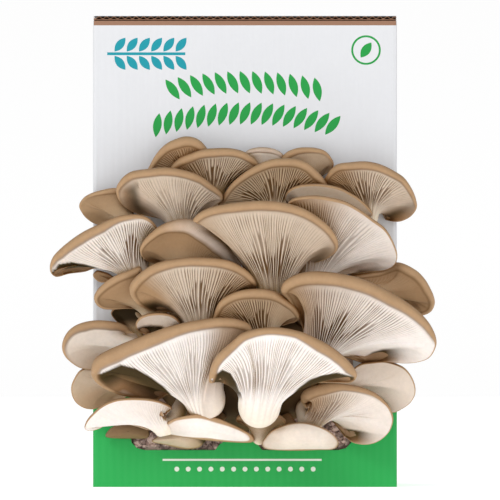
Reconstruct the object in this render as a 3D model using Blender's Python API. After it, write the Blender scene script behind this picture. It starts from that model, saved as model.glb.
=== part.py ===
"""Oyster mushroom grow kit: a small carton of growing substrate with a cluster of
oyster mushrooms growing out of the window in its front.

Frame: +X to the right, the carton's front towards -Y, +Z up, with the origin at the
centre of the carton's underside. Metres in the scene. The tables below are in
millimetres, as (x, forward, z), where forward is the distance in front of the carton.
"""

import math

import bmesh
import bpy
import numpy as np
from mathutils.bvhtree import BVHTree

# Driving dimensions, in metres
MM = 0.001
CARTON_WIDTH = 107 * MM
CARTON_DEPTH = 76 * MM
CARTON_HEIGHT = 164.1 * MM
BOARD = 1.6 * MM
FOLD_RADIUS = 1.2 * MM
GAP = 0.35 * MM
FRONT = -CARTON_DEPTH / 2

# The window in the carton's front, and the tab that stands up from its lower edge
WINDOW_LEFT = -40.5 * MM
WINDOW_RIGHT = 38 * MM
WINDOW_BOTTOM = 13 * MM
WINDOW_TOP = 72 * MM
WINDOW_CORNER = 5 * MM
TAB_LEFT = -10.5 * MM
TAB_RIGHT = 6 * MM
TAB_RISE = 4.2 * MM

# The lid flap and the crease it turns on
FLAP_CLEARANCE = 0.3 * MM
FLAP_SIDE_INSET = 0.2 * MM
CREASE_Y = CARTON_DEPTH / 2 + 0.05 * MM
CREASE_Z = CARTON_HEIGHT + 0.15 * MM

# The substrate block inside
BLOCK_MARGIN = 0.4 * MM
BLOCK_TOP = 157 * MM
BLOCK_ROUNDING = 3 * MM

# The mound that all the stems grow from: half an ellipsoid, in millimetres
MOUND_CENTRE = np.array([-1.0, 0.0, 44.0])
MOUND_RADII = np.array([33.0, 14.0, 24.5])
MOUND_BACK = -1.7
MOUND_COLUMNS = 20
MOUND_ROWS = 5

# How a cap and its stem are made, in millimetres or as shares of the neck's radius
SKIN = 0.9
CAP_THICKNESS = 2.4
NECK_SWELLING = 1.3
UNDER_SWELL = 0.85
TOP_SWELL = 0.6
STEM_PULL = 0.42
FOOT_LIFT = 0.9
CLEAR_OF_CARTON = 0.4
CURVE_STEPS = 24
STEM_SIDES = 7
LARGE_CAP = 16
WELD = 0.005 * MM
GAP_TRIES = (1, 1.09, 1.2, 1.33, 0.95, 1.5)
LEAST_LEFT = 0.3

# Every mushroom. root is (x, z) on the mound, neck is where the gills leave the stem,
# rim is the outer edge of the cap as (x, z, extra forward), clockwise from its left end.
# lean is how far the cap comes forward for each millimetre that it rises.
MUSHROOMS = [
    dict(name="mushroom_front_centre", root=(5, 34), root_radius=4.4, neck=(5.3, 30, 30.5), neck_radius=6.8,
         lean=0.6, band=2.0, curl=1.2, columns=16,
         rim=[(-10, 38.5, -4), (-12.7, 37, 0), (-12, 42.6, 1), (-9.9, 46.1, 1), (-5.3, 50.3, 0), (-0.7, 53.9, 0),
              (8.8, 55.8, 0), (18.3, 54.6, 0), (25.3, 51.7, 0), (32.4, 47.5, 1), (38, 42.2, 2), (39.2, 39.1, 1),
              (37, 37, -1), (31.7, 37, -4), (24, 36.6, -7)]),
    dict(name="mushroom_front_left", root=(-13, 35), root_radius=4.6, neck=(-14, 20, 31), neck_radius=7.4,
         lean=0.55, band=2.4, curl=1.5, columns=18,
         rim=[(-27, 32.6, -8), (-30, 31, -8), (-36, 31.3, -7), (-44, 32.4, -5), (-49.6, 34.8, -2),
              (-53.2, 37.7, 0), (-54.2, 40.8, 2), (-52.8, 44.7, 2), (-45.1, 48.9, 1), (-33.4, 53.5, 0),
              (-26.4, 56, 0), (-16.9, 58.1, 0), (-8.8, 59.1, 0), (-1.8, 58.4, 0), (2.5, 55.6, -1)]),
    dict(name="mushroom_front_right", root=(20, 43), root_radius=4.2, neck=(23, 18, 44), neck_radius=6,
         lean=0.6, band=2.4, curl=1.5, columns=18,
         rim=[(20.4, 54.6, -4), (18, 60.5, -3), (14.8, 65.8, -2), (12.3, 69, 0), (13.4, 71.5, 0), (17.6, 73.9, 0),
              (23.2, 75, 0), (33.1, 74.3, 0), (42.9, 71.8, 0), (52.8, 66.9, 0), (60.2, 61.9, 1), (65.1, 56.7, 2),
              (67.2, 51.4, 3), (66.5, 48.2, 3), (64.4, 45.4, 2), (60.5, 44, 0), (56, 43.6, -3), (49.3, 44, -5),
              (42.2, 43.3, -7)]),
    dict(name="mushroom_centre_small", root=(6, 47), root_radius=3, neck=(6, 23, 52.4), neck_radius=4.4,
         lean=0.5, band=1.8, curl=1.2, columns=14,
         rim=[(-12, 56, -3), (-11.3, 59.5, 0), (-9.2, 64.8, 0), (-3.9, 68.1, 0), (3.5, 69.3, 0), (10.9, 68.3, 0),
              (15.8, 65.5, 0), (18.7, 62.7, 0), (19.7, 59.8, 0), (18, 58.1, -1), (14.1, 57, -2)]),
    dict(name="mushroom_middle_centre", root=(7, 58), root_radius=3.6, neck=(9.7, 17, 66), neck_radius=5.4,
         lean=0.5, band=2.0, curl=1.5, columns=18,
         rim=[(-8.8, 88.3, -8), (-14.1, 91.5, -4), (-18.3, 93.6, 0), (-15.8, 96.1, 0), (-11.6, 97.9, 0),
              (-1.8, 99.6, 0), (8.8, 100, 0), (19.4, 97.9, 0), (26.4, 94, 0), (30.6, 90.1, 1), (32.7, 86.2, 2),
              (32.4, 83.4, 2), (28.9, 80.3, 0), (23.9, 78.5, -3), (20.1, 76.4, -6)]),
    dict(name="mushroom_middle_left", root=(-14, 51), root_radius=4, neck=(-15.8, 19, 57.5), neck_radius=5.8,
         lean=0.5, band=2.2, curl=1.5, columns=16,
         rim=[(-31.3, 61.6, -5), (-34.1, 62.3, -3), (-37.7, 64.1, 0), (-40.1, 66.9, 0), (-40.8, 69.7, 0),
              (-39.4, 72.5, 0), (-32.7, 77.6, 0), (-23.6, 79.9, 0), (-14.8, 80.3, 0), (-5.6, 79.2, 0),
              (-1.4, 77.3, 0), (1.8, 75, 0), (3.9, 72.2, 0), (3.6, 69.7, -2)]),
    dict(name="mushroom_middle_right", root=(20, 59), root_radius=3.4, neck=(21.5, 12, 70.5), neck_radius=5.2,
         lean=0.5, band=1.6, curl=1.5, columns=16,
         rim=[(14.1, 95.7, -3), (16.2, 100.7, 0), (23.6, 102.1, 0), (29.9, 101.4, 0), (35.2, 100, 0),
              (40.5, 97.1, 0), (44.7, 94, 0), (49.3, 90.5, 0), (52.4, 85.2, 1), (53.5, 81, 1), (52.4, 78.1, 0),
              (49.3, 76.4, -1), (44, 75.7, -3), (37, 75, -5)]),
    dict(name="mushroom_centre_left", root=(-16, 60), root_radius=3.2, neck=(-19.4, 13, 74), neck_radius=4.8,
         lean=0.55, band=2.4, curl=1.5, columns=16,
         rim=[(-32.7, 78.8, -4), (-35.9, 80.6, 0), (-37, 83.4, 2), (-35.9, 85.9, 2), (-33.4, 88.7, 1),
              (-29.9, 91.3, 0), (-26.4, 92.7, 0), (-22.2, 93.5, 0), (-18.3, 93.2, 0), (-13.4, 91.2, 0),
              (-8.8, 88.3, 0), (-4.9, 84.5, 0), (-2.5, 80.6, -1), (-1.4, 77.1, -3)]),
    dict(name="mushroom_left_wing", root=(-27, 56), root_radius=3.2, neck=(-37.7, 9, 73.6), neck_radius=4.8,
         lean=0.45, band=2.2, curl=1.5, columns=18,
         rim=[(-52.1, 76.9, -5), (-56.3, 75.7, -5), (-61.6, 75, -3), (-66.5, 73.9, 0), (-68.3, 75.3, 1),
              (-68.6, 77.8, 2), (-67.6, 80.6, 2), (-65.1, 83.4, 1), (-58.1, 88.7, 0), (-51, 92.2, 0),
              (-44, 95, 0), (-37, 95.4, 0), (-33.4, 94, 0), (-31, 91.5, -1), (-29.9, 88.3, -3)]),
    dict(name="mushroom_upper_left", root=(-21, 63), root_radius=2.8, neck=(-22.9, 7.5, 91.2), neck_radius=4.4,
         lean=0.5, band=2.2, curl=1.2, columns=16,
         rim=[(-37, 95.7, -4), (-41.9, 98.2, -2), (-44.7, 101.4, 0), (-45.4, 104.5, 0), (-44, 107.4, 0),
              (-40.5, 110.2, 0), (-33.4, 111.4, 0), (-28.2, 111.9, 0), (-21.1, 110.9, 0), (-15.8, 109.1, 0),
              (-11.3, 105.9, 0), (-8.1, 103.1, 0), (-7.7, 101, 0), (-10.6, 98.9, -2), (-14.1, 96.4, -4)]),
    dict(name="mushroom_upper_centre", root=(9, 66), root_radius=2.8, neck=(11.3, 8.5, 97.5), neck_radius=4.4,
         lean=0.5, band=1.8, curl=1.2, columns=16,
         rim=[(-9.5, 98.6, -3), (-8.1, 101.7, 0), (-5.3, 105.9, 0), (-1.8, 109.1, 0), (1.8, 111.6, 0),
              (8.8, 114.6, 0), (14.1, 115.1, 0), (19.4, 114.6, 0), (22.9, 113, 0), (25.7, 110.5, 0),
              (28.2, 107.7, 0), (29.2, 105.2, 0), (27.1, 102.4, -2)]),
    dict(name="mushroom_upper_right", root=(28, 55.5), root_radius=2.4, neck=(43.3, 6, 96.3), neck_radius=3.8,
         lean=0.5, band=2.0, curl=1.2, columns=16,
         rim=[(27.1, 105.6, -2), (28.2, 108.8, 0), (29.9, 111.2, 0), (32.4, 113, 0), (37, 113.7, 0),
              (42.2, 114, 0), (47.5, 113, 0), (52.8, 110.5, 0), (56.3, 108.1, 0), (58.8, 104.5, 1),
              (60.2, 101, 1), (60.5, 98.2, 1), (58.1, 95, 0), (53.9, 93.3, -1), (49.3, 94, -3)]),
    dict(name="mushroom_upper_right_pale", root=(25, 62), root_radius=2.2, neck=(31, 7, 84), neck_radius=2.8,
         lean=0.5, band=0.6, curl=1.0, columns=12,
         rim=[(14.1, 101, -2), (15.8, 104.5, 0), (19.4, 105.9, 0), (24.6, 106.3, 0), (29.2, 105.9, 0),
              (33.4, 104.9, 0), (37, 103.1, 0), (39.8, 101.4, 0), (43.3, 98.2, 0), (44.7, 95.4, -2)]),
    dict(name="mushroom_top_centre_left", root=(-5, 67.4), root_radius=2.4, neck=(-10.6, 4.6, 102.8),
         neck_radius=3.8, lean=0.5, band=1.8, curl=1.2, columns=14,
         rim=[(-26.4, 110.5, -2), (-25.7, 113, 0), (-22.9, 115.5, 0), (-19.4, 116.9, 0), (-15.8, 118.1, 0),
              (-10.6, 118.6, 0), (-5.3, 118.6, 0), (-0.7, 117.6, 0), (2.5, 115.8, 0), (4.9, 113.3, 0),
              (4.2, 110.5, -1)]),
    dict(name="mushroom_top_left", root=(-12, 66.5), root_radius=1.8, neck=(-20.2, 3.6, 108.8), neck_radius=2.6,
         lean=0.5, band=1.8, curl=1.0, columns=14,
         rim=[(-34.1, 110.9, -1), (-33.4, 113.3, 0), (-31.3, 116.9, 0), (-28.2, 120, 0), (-24.6, 121.8, 0),
              (-21.1, 122.7, 0), (-17.6, 122.3, 0), (-14.8, 120.7, 0), (-12.7, 117.9, 0), (-12.3, 114.7, -1)]),
    dict(name="mushroom_top_bud", root=(2, 67.8), root_radius=1.5, neck=(7, 3, 108.8), neck_radius=2.2,
         lean=0.35, band=1.4, curl=0.6, columns=10,
         rim=[(-0.7, 115.1, -1), (0.4, 117.9, 0), (3.5, 119.1, 0), (7, 119.3, 0), (10.6, 118.6, 0),
              (13.4, 116.9, 0), (14.4, 114.4, -1)]),
    dict(name="mushroom_top_right", root=(13, 66.2), root_radius=1.8, neck=(22.2, 3.4, 106.3), neck_radius=2.6,
         lean=0.4, band=1.6, curl=0.8, columns=12,
         rim=[(12.3, 114.4, -1), (14.1, 117.2, 0), (16.5, 118.4, 0), (19.4, 119.1, 0), (24.6, 119, 0),
              (28.2, 117.9, 0), (30.3, 115.8, 0), (31.3, 113.3, 0), (29.9, 110.9, -1)]),
    dict(name="mushroom_far_left", root=(-22, 58.5), root_radius=2, neck=(-41.2, 4, 92.2), neck_radius=2.6,
         lean=0.3, band=1.6, curl=0.8, columns=12,
         rim=[(-51.7, 92.2, -1), (-55.3, 94, 0), (-57.4, 96.4, 1), (-58.4, 98.9, 1), (-57, 101.4, 1),
              (-54.6, 103, 0), (-51, 104.2, 0), (-45.1, 105.1, 0), (-40.5, 103.8, -1), (-37.7, 101, -2)]),
    dict(name="mushroom_right_wing", root=(28, 49), root_radius=2.6, neck=(37, 9, 66), neck_radius=3.6,
         lean=0.15, band=2.4, curl=1.2, columns=14,
         rim=[(35.6, 73.9, -2), (39.8, 75, 0), (46.8, 76.6, 0), (53.5, 79.2, 1), (60.2, 76.4, 3),
              (63.4, 73.2, 4), (65.1, 70.4, 4), (66.5, 67.2, 4), (66.9, 64.4, 3), (65.5, 61.6, 2),
              (62.3, 60.2, 1), (58.1, 60.9, -1), (52.8, 61.5, -2)]),
    dict(name="mushroom_low_right", root=(27, 36), root_radius=2.8, neck=(34, 10, 35.5), neck_radius=3.8,
         lean=0.3, band=0.8, curl=1.2, columns=14,
         rim=[(37, 38.4, -1), (38, 41.5, 0), (40.5, 43.3, 0), (44.4, 44, 0), (49.3, 44.3, 0), (53.2, 43.3, 1),
              (56, 41.9, 2), (58.4, 39.1, 3), (59.8, 35.5, 4), (59.8, 32.7, 4), (58.1, 29.6, 3),
              (55.3, 27.5, 2), (52.4, 26.2, 1), (49.3, 26.8, -1), (44, 29.2, -2)]),
    dict(name="mushroom_bottom_right", root=(20, 29), root_radius=3, neck=(23.6, 14, 23), neck_radius=4,
         lean=0.5, band=1.6, curl=1.5, columns=16,
         rim=[(19.4, 29.9, -2), (19.7, 32.7, 0), (22.2, 34.5, 0), (26.4, 35.7, 0), (32.4, 36.1, 0),
              (39.4, 35.2, 0), (44.7, 33.4, 0), (48.2, 31, 0), (51, 27.8, 1), (52.1, 23.9, 2), (51, 20.1, 3),
              (48.9, 17.6, 3), (45.8, 15.7, 2), (41.9, 15, 1), (37.7, 15.8, -1), (34.8, 17.9, -3)]),
    dict(name="mushroom_bottom_centre_right", root=(13, 25.5), root_radius=2.4, neck=(15, 19, 16.6),
         neck_radius=2.8, lean=0.7, band=0.6, curl=0.6, columns=14,
         rim=[(7, 13.9, 0), (6, 15.5, 0), (7.4, 17.9, 0), (9.5, 20.2, 0), (13, 21.8, 0), (16.5, 22.7, 0),
              (20.4, 22.9, 0), (24.6, 22, 0), (28.9, 20.2, 0), (31.7, 17.9, 0), (32.7, 15.8, 0),
              (31.3, 13.7, -1), (26, 13.3, -1)]),
    dict(name="mushroom_bottom_centre", root=(3, 25), root_radius=2, neck=(5, 13.5, 17.6), neck_radius=2.6,
         lean=0.6, band=0.8, curl=0.6, columns=12,
         rim=[(-3.2, 23.2, -1), (-2.5, 24.8, 0), (1.1, 25.6, 0), (6, 25.7, 0), (10.6, 25.6, 0),
              (13.4, 24.4, 0), (14.4, 22.9, 0), (13, 21.5, -1)]),
    dict(name="mushroom_bottom_centre_left", root=(-9, 26), root_radius=2.8, neck=(-9, 17, 17.6),
         neck_radius=3.4, lean=0.7, band=1.8, curl=0.8, columns=14,
         rim=[(-28.9, 19.7, -1), (-27.8, 22.2, 0), (-25.7, 23.9, 0), (-21.8, 25, 0), (-16.9, 25.7, 0),
              (-13, 25.3, 0), (-8.8, 24.1, 0), (-4.6, 22.3, 0), (-0.7, 20.4, 0), (2.5, 18.3, 0),
              (3.2, 16.5, 0), (0.7, 15.8, -1)]),
    dict(name="mushroom_bottom_bud", root=(-18, 28), root_radius=1.8, neck=(-20.5, 7, 18), neck_radius=2.2,
         lean=0.4, band=0.6, curl=0.8, columns=12,
         rim=[(-28.2, 15, -1), (-32.7, 16.2, 0), (-30.6, 17.9, 0), (-27.8, 19.5, 0), (-24.3, 20.8, 0),
              (-20.4, 21.6, 0), (-16.9, 20.9, 0), (-14.4, 19.2, 0), (-13.7, 17.2, 0), (-15.8, 14.4, 0),
              (-20.1, 13.5, 0)]),
    dict(name="mushroom_bottom_left", root=(-21, 31), root_radius=2.6, neck=(-29.5, 18, 21.5), neck_radius=3.6,
         lean=0.5, band=0.7, curl=1.2, columns=18,
         rim=[(-33.4, 20.1, -4), (-38, 21.4, -4), (-43.6, 22.6, -3), (-48.2, 22, -2), (-51.4, 20.6, -1),
              (-54.6, 19.9, 0), (-56.3, 20.8, 1), (-55.6, 23.2, 1), (-53.2, 26, 1), (-49.6, 29, 0),
              (-45.1, 30.8, 0), (-40.5, 31.3, 0), (-33.4, 31, 0), (-27.5, 29.7, 0), (-23.6, 28.5, 0),
              (-21.5, 27, -1)]),
    dict(name="mushroom_bottom_left_young", root=(-28, 36), root_radius=1.6, neck=(-36, 5, 20.5),
         neck_radius=1.8, lean=0.3, band=0.8, curl=0.5, columns=10,
         rim=[(-48.9, 17.9, 0), (-47.5, 20.4, 0), (-43.3, 22.5, 0), (-38.4, 22.5, 0), (-34.1, 20.1, 0),
              (-34.1, 17.6, 0), (-41.2, 17.2, 0)]),
    dict(name="mushroom_low_left", root=(-29, 41), root_radius=2.4, neck=(-37, 5, 34.5), neck_radius=2.8,
         lean=0.2, band=0.8, curl=1.0, columns=14,
         rim=[(-46.8, 29.2, -1), (-50.3, 28.3, 1), (-53.5, 27.3, 3), (-56.7, 27.8, 4), (-59.5, 29.7, 4),
              (-60.9, 32.4, 4), (-61.1, 35.5, 4), (-59.8, 38.7, 3), (-58.1, 41, 2), (-54.6, 42.6, 1),
              (-49.3, 43.3, 0), (-44, 41.9, -1)]),
    dict(name="mushroom_left_pale", root=(-28, 47), root_radius=2.8, neck=(-38.7, 10, 48.2), neck_radius=3.8,
         lean=0.3, band=2.4, curl=1.2, columns=14,
         rim=[(-51, 40.8, -2), (-54.6, 41.2, 0), (-58.1, 41.9, 1), (-60.9, 43.6, 2), (-63.4, 46.1, 3),
              (-64.4, 48.9, 3), (-63.7, 52.4, 3), (-61.6, 55.4, 2), (-58.1, 57.5, 1), (-52.8, 58.6, 0),
              (-47.5, 58.4, 0), (-43.3, 57.5, -1), (-40.5, 55.6, -2)]),
    dict(name="mushroom_left_young", root=(-22, 45), root_radius=2, neck=(-29, 21, 52.5), neck_radius=2.6,
         lean=0.4, band=0.8, curl=0.8, columns=12,
         rim=[(-34.8, 53.7, 0), (-37.7, 55.3, 0), (-38.4, 57.4, 0), (-37, 59.5, 0), (-34.5, 60.7, 0),
              (-30.6, 61.2, 0), (-26.4, 60.7, 0), (-23.6, 59.1, 0), (-22.6, 57, -1)]),
    dict(name="mushroom_left_shaded", root=(-31.5, 48.5), root_radius=1.6, neck=(-38.5, 4.8, 54.5), neck_radius=2,
         lean=0.3, band=0.8, curl=0.8, columns=12,
         rim=[(-39.4, 54.9, -1), (-43.3, 56.7, 0), (-45.8, 58.8, 0), (-47.2, 61.1, 0), (-46.1, 62.8, 0),
              (-42.6, 63.5, 0), (-38.4, 63.2, 0), (-34.1, 61.2, 0), (-33.4, 59.1, -1)]),
    dict(name="mushroom_left_brown", root=(-27, 51), root_radius=2.4, neck=(-33.4, 13, 61.5), neck_radius=3,
         lean=0.35, band=1.8, curl=0.8, columns=14,
         rim=[(-37, 62.4, -3), (-42.2, 62.6, -1), (-47.2, 62.3, 0), (-50.3, 62.7, 0), (-52.4, 64.2, 0),
              (-53.2, 66.5, 0), (-52.4, 68.6, 0), (-49.6, 71.6, 0), (-45.8, 74.1, 0), (-40.8, 76, 0),
              (-36.3, 77.1, -1)]),
    dict(name="mushroom_left_tip_young", root=(-30, 54), root_radius=1.3, neck=(-44, 6, 70), neck_radius=1.6,
         lean=0.3, band=0.6, curl=0.4, columns=10,
         rim=[(-48.2, 71.8, 0), (-51, 72, 0), (-52.8, 73.2, 0), (-53.5, 74.6, 0), (-52.1, 76, 0),
              (-49.6, 75.6, 0), (-46.8, 74.3, 0)]),
]

RIGHT = np.array([1.0, 0.0, 0.0])
AHEAD = np.array([0.0, 1.0, 0.0])
IN_FRONT_VIEW = np.array([1.0, 0.0, 1.0])


def unit(vector):
    return vector / np.maximum(np.linalg.norm(vector, axis=-1, keepdims=True), 1e-9)


def smoothstep(value, low, high):
    share = np.clip((value - low) / (high - low), 0, 1)
    return share * share * (3 - 2 * share)


def bezier(points, share):
    """The point at a share of a Bezier curve of any degree."""
    points = list(points)
    while len(points) > 1:
        points = [a + (b - a) * share for a, b in zip(points, points[1:])]
    return points[0]


def closed_curve(knots):
    """A dense smooth closed curve through the knots (centripetal Catmull-Rom)."""
    count = len(knots)
    dense = []
    for index in range(count):
        a, b, c, d = (knots[(index + offset) % count] for offset in (-1, 0, 1, 2))
        tb = np.linalg.norm(b - a) ** 0.5
        tc = tb + np.linalg.norm(c - b) ** 0.5
        td = tc + np.linalg.norm(d - c) ** 0.5
        for t in np.linspace(tb, tc, CURVE_STEPS, endpoint=False):
            ab = a + (b - a) * t / tb
            bc = b + (c - b) * (t - tb) / (tc - tb)
            cd = c + (d - c) * (t - tc) / (td - tc)
            abc = ab + (bc - ab) * t / tc
            bcd = bc + (cd - bc) * (t - tb) / (td - tb)
            dense.append(abc + (bcd - abc) * (t - tb) / (tc - tb))
    return np.array(dense)


def on_mound(points, lift):
    """Push points out along the mound's radius, to its surface and a lift beyond it."""
    away = (points - MOUND_CENTRE) / MOUND_RADII
    scale = 1 + lift / MOUND_RADII.mean()
    return MOUND_CENTRE + unit(away) * MOUND_RADII * scale


def root_point(x, z):
    """The mound's surface at a place in the front view."""
    flat = ((x - MOUND_CENTRE[0]) / MOUND_RADII[0]) ** 2 + ((z - MOUND_CENTRE[2]) / MOUND_RADII[2]) ** 2
    ahead = MOUND_RADII[1] * math.sqrt(max(0.02, 1 - flat))
    return np.array([x, ahead, z])


def growing_direction(spec):
    """The direction up a cap's plane, to the side that most of the cap lies on."""
    sideways = np.mean([x for x, z, extra in spec["rim"]]) - spec["neck"][0]
    rise = max(z for x, z, extra in spec["rim"]) - spec["neck"][2]
    plane = unit(np.array([0.0, spec["lean"], 1.0]))
    return unit(plane + RIGHT * np.clip(0.5 * sideways / max(rise, 1), -1, 1))


def cap_edge(spec, columns):
    """The edge of a cap all around, as (x, extra forward, z). Where the rim leaves the cap
    open, the edge closes around the neck."""
    knots = [np.array([x, extra, z], float) for x, z, extra in spec["rim"]]
    neck = np.array([spec["neck"][0], 0.0, spec["neck"][2]])
    bearings = [math.atan2(knot[2] - neck[2], knot[0] - neck[0]) for knot in knots + knots[:1]]
    turns = [(b - a + math.pi) % (2 * math.pi) - math.pi for a, b in zip(bearings, bearings[1:])]
    if abs(sum(turns)) < math.pi:
        across = unit((knots[-1] - knots[0]) * IN_FRONT_VIEW) * 0.85
        past = np.array([across[2], 0, -across[0]])
        radius = spec["neck_radius"]
        knots += [neck + across * radius, neck + past * radius * 0.6, neck - across * radius]
    curve = closed_curve(knots)
    curve = np.vstack([curve, curve[:1]])
    length = np.concatenate([[0], np.cumsum(np.linalg.norm(np.diff(curve, axis=0), axis=1))])
    along = np.arange(columns) / columns * length[-1]
    return np.stack([np.interp(along, length, curve[:, axis]) for axis in range(3)], axis=1)


def middle_of(edge):
    """The middle of the area inside a closed edge, in the front view."""
    x, z = edge[:, 0], edge[:, 2]
    next_x, next_z = np.roll(x, -1), np.roll(z, -1)
    twice_area = x * next_z - next_x * z
    moment_x = ((x + next_x) * twice_area).sum()
    moment_z = ((z + next_z) * twice_area).sum()
    return np.array([moment_x, 0, moment_z]) / (3 * twice_area.sum())


def stem_frames(spec, rows):
    """Middle, two directions across and radius of a stem at each row, from foot to neck.
    Each row's directions follow from the row above, so that the stem doesn't twist."""
    neck = np.array(spec["neck"], float)
    root = root_point(*spec["root"])
    away = unit((root - MOUND_CENTRE) / MOUND_RADII ** 2)
    arrival = unit(growing_direction(spec) + unit(neck - root))
    pull = np.linalg.norm(neck - root) * STEM_PULL
    path = [root, root + away * pull, neck - arrival * pull, neck]
    frames = []
    side = RIGHT
    for share in np.linspace(1, 0, rows + 1):
        ahead = unit(bezier(path, share + 0.01) - bezier(path, share - 0.01))
        side = unit(side - (side @ ahead) * ahead)
        radius = spec["root_radius"] + (spec["neck_radius"] - spec["root_radius"]) * share ** 1.3
        frames.insert(0, (bezier(path, share), side, np.cross(ahead, side), radius))
    return frames


def ring_point(frame, turn, size=1.0):
    middle, side, front, radius = frame
    turn = np.asarray(turn)[..., None]
    return middle + size * radius * (np.sin(turn) * side + np.cos(turn) * front)


def stem_rings(spec, columns, rows):
    """The rings of a stem from its foot on the mound up into the cap, and its two ends."""
    turn = np.arange(columns) / columns * 2 * math.pi
    frames = stem_frames(spec, rows)
    rings = [ring_point(frame, turn) for frame in frames]
    rings[0] = on_mound(rings[0], FOOT_LIFT)
    foot = on_mound(frames[0][0][None, :], FOOT_LIFT)[0]
    rise = growing_direction(spec) * spec["neck_radius"]
    rings.append(ring_point(frames[-1], turn, 0.8) + rise * 0.5)
    return rings, (foot, frames[-1][0] + rise * 0.8)


def cap_point(spec, edge, middle, share, depth, swell):
    """Points of a cap at a share of the way from its middle to its edge, a depth in front
    of the cap's plane, and swollen by a share of the neck's radius around the neck."""
    points = middle + (edge - middle) * share
    neck = np.array(spec["neck"], float)
    from_neck = np.hypot(points[:, 0] - neck[0], points[:, 2] - neck[2]) / spec["neck_radius"]
    swelling = swell * spec["neck_radius"] * np.exp(-(from_neck / NECK_SWELLING) ** 2)
    ahead = neck[1] + spec["lean"] * (points[:, 2] - neck[2]) + edge[:, 1] * np.ravel(share) ** 2
    points[:, 1] = np.maximum(ahead + np.ravel(depth) + swelling, CLEAR_OF_CARTON)
    return points


def cap_rings(spec, columns, under_rows, top_rows):
    """The rings of a cap from the middle of its underside out to the rolled edge and back
    over the top, and the middles of both."""
    edge = cap_edge(spec, columns)
    middle = middle_of(edge)
    spokes = (edge - middle) * IN_FRONT_VIEW
    reach = np.linalg.norm(spokes, axis=1)
    along = unit((np.roll(edge, -1, axis=0) - np.roll(edge, 1, axis=0)) * IN_FRONT_VIEW)
    facing_up = np.abs(along[:, 0]) * np.sign(spokes[:, 2])
    from_neck = np.hypot(edge[:, 0] - spec["neck"][0], edge[:, 2] - spec["neck"][2]) / spec["neck_radius"]
    band = spec["band"] * (0.35 + 0.65 * smoothstep(facing_up, -0.2, 0.7)) * smoothstep(from_neck, 1, 2.2)
    inset = np.maximum(band, 0.5) / reach
    curl = spec["curl"]

    def ring(share, depth, swell):
        return cap_point(spec, edge, middle, np.ravel(share)[:, None] * np.ones((columns, 1)), depth, swell)

    rings = []
    for row in range(1, under_rows + 1):
        share = row / under_rows * (1 - inset)
        rings.append(ring(share, (0.45 * band + 0.2) * share ** 2 - curl * (1 - share ** 2), UNDER_SWELL))
    rings.append(ring(1.0, 0, 0))
    for row in range(top_rows, 0, -1):
        share = row / top_rows * (1 - 0.3 * inset)
        thick = (0.8 * band + SKIN) * share ** 2 + (curl + CAP_THICKNESS) * (1 - share ** 2)
        rings.append(ring(share, -thick, -TOP_SWELL))
    tips = [cap_point(spec, edge[:1], middle, np.zeros((1, 1)), depth, swell)[0]
            for depth, swell in ((-curl, UNDER_SWELL), (-curl - CAP_THICKNESS, -TOP_SWELL))]
    return rings, tips


def to_world(points):
    """From (x, forward, z) in millimetres to metres in the scene."""
    x, ahead, z = np.moveaxis(np.asarray(points, float), -1, 0)
    return np.stack([x * MM, FRONT - ahead * MM, z * MM], axis=-1)


def loft(name, rings, tips):
    """A closed mesh through rings of equal length, coming to a tip at each end."""
    bm = bmesh.new()
    columns = len(rings[0])
    rows = [[bm.verts.new(point) for point in to_world(ring)] for ring in rings]
    for lower, upper in zip(rows, rows[1:]):
        for index in range(columns):
            after = (index + 1) % columns
            bm.faces.new((lower[index], lower[after], upper[after], upper[index]))
    for row, tip_point in zip((rows[0], rows[-1]), tips):
        tip = bm.verts.new(to_world(tip_point))
        for index in range(columns):
            bm.faces.new((tip, row[index], row[(index + 1) % columns]))
    bmesh.ops.recalc_face_normals(bm, faces=bm.faces)
    mesh = bpy.data.meshes.new(name)
    bm.to_mesh(mesh)
    bm.free()
    mesh.shade_smooth()
    return mesh


def collection(name):
    new = bpy.data.collections.new(name)
    bpy.context.scene.collection.children.link(new)
    return new


def material(name, colour, roughness):
    new = bpy.data.materials.new(name)
    new.use_nodes = True
    shader = new.node_tree.nodes["Principled BSDF"]
    shader.inputs["Base Color"].default_value = (*colour, 1)
    shader.inputs["Roughness"].default_value = roughness
    shader.inputs["Metallic"].default_value = 0
    return new


def add(name, mesh, group, finish=None):
    new = bpy.data.objects.new(name, mesh)
    group.objects.link(new)
    if finish:
        mesh.materials.append(finish)
    return new


def box_mesh(name, low, high, rounding=0.0, segments=2, upright_only=False):
    """A box between two corners, with its edges rounded."""
    bm = bmesh.new()
    bmesh.ops.create_cube(bm, size=1)
    low = np.array(low, float)
    high = np.array(high, float)
    for vert in bm.verts:
        vert.co = (low + high) / 2 + (high - low) * np.array(vert.co)
    if rounding:
        edges = list(bm.edges)
        if upright_only:
            edges = [edge for edge in edges if abs((edge.verts[0].co - edge.verts[1].co).z) > rounding]
        bmesh.ops.bevel(bm, geom=edges, offset=rounding, segments=segments, profile=0.5, affect="EDGES")
    mesh = bpy.data.meshes.new(name)
    bm.to_mesh(mesh)
    bm.free()
    return mesh


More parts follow.
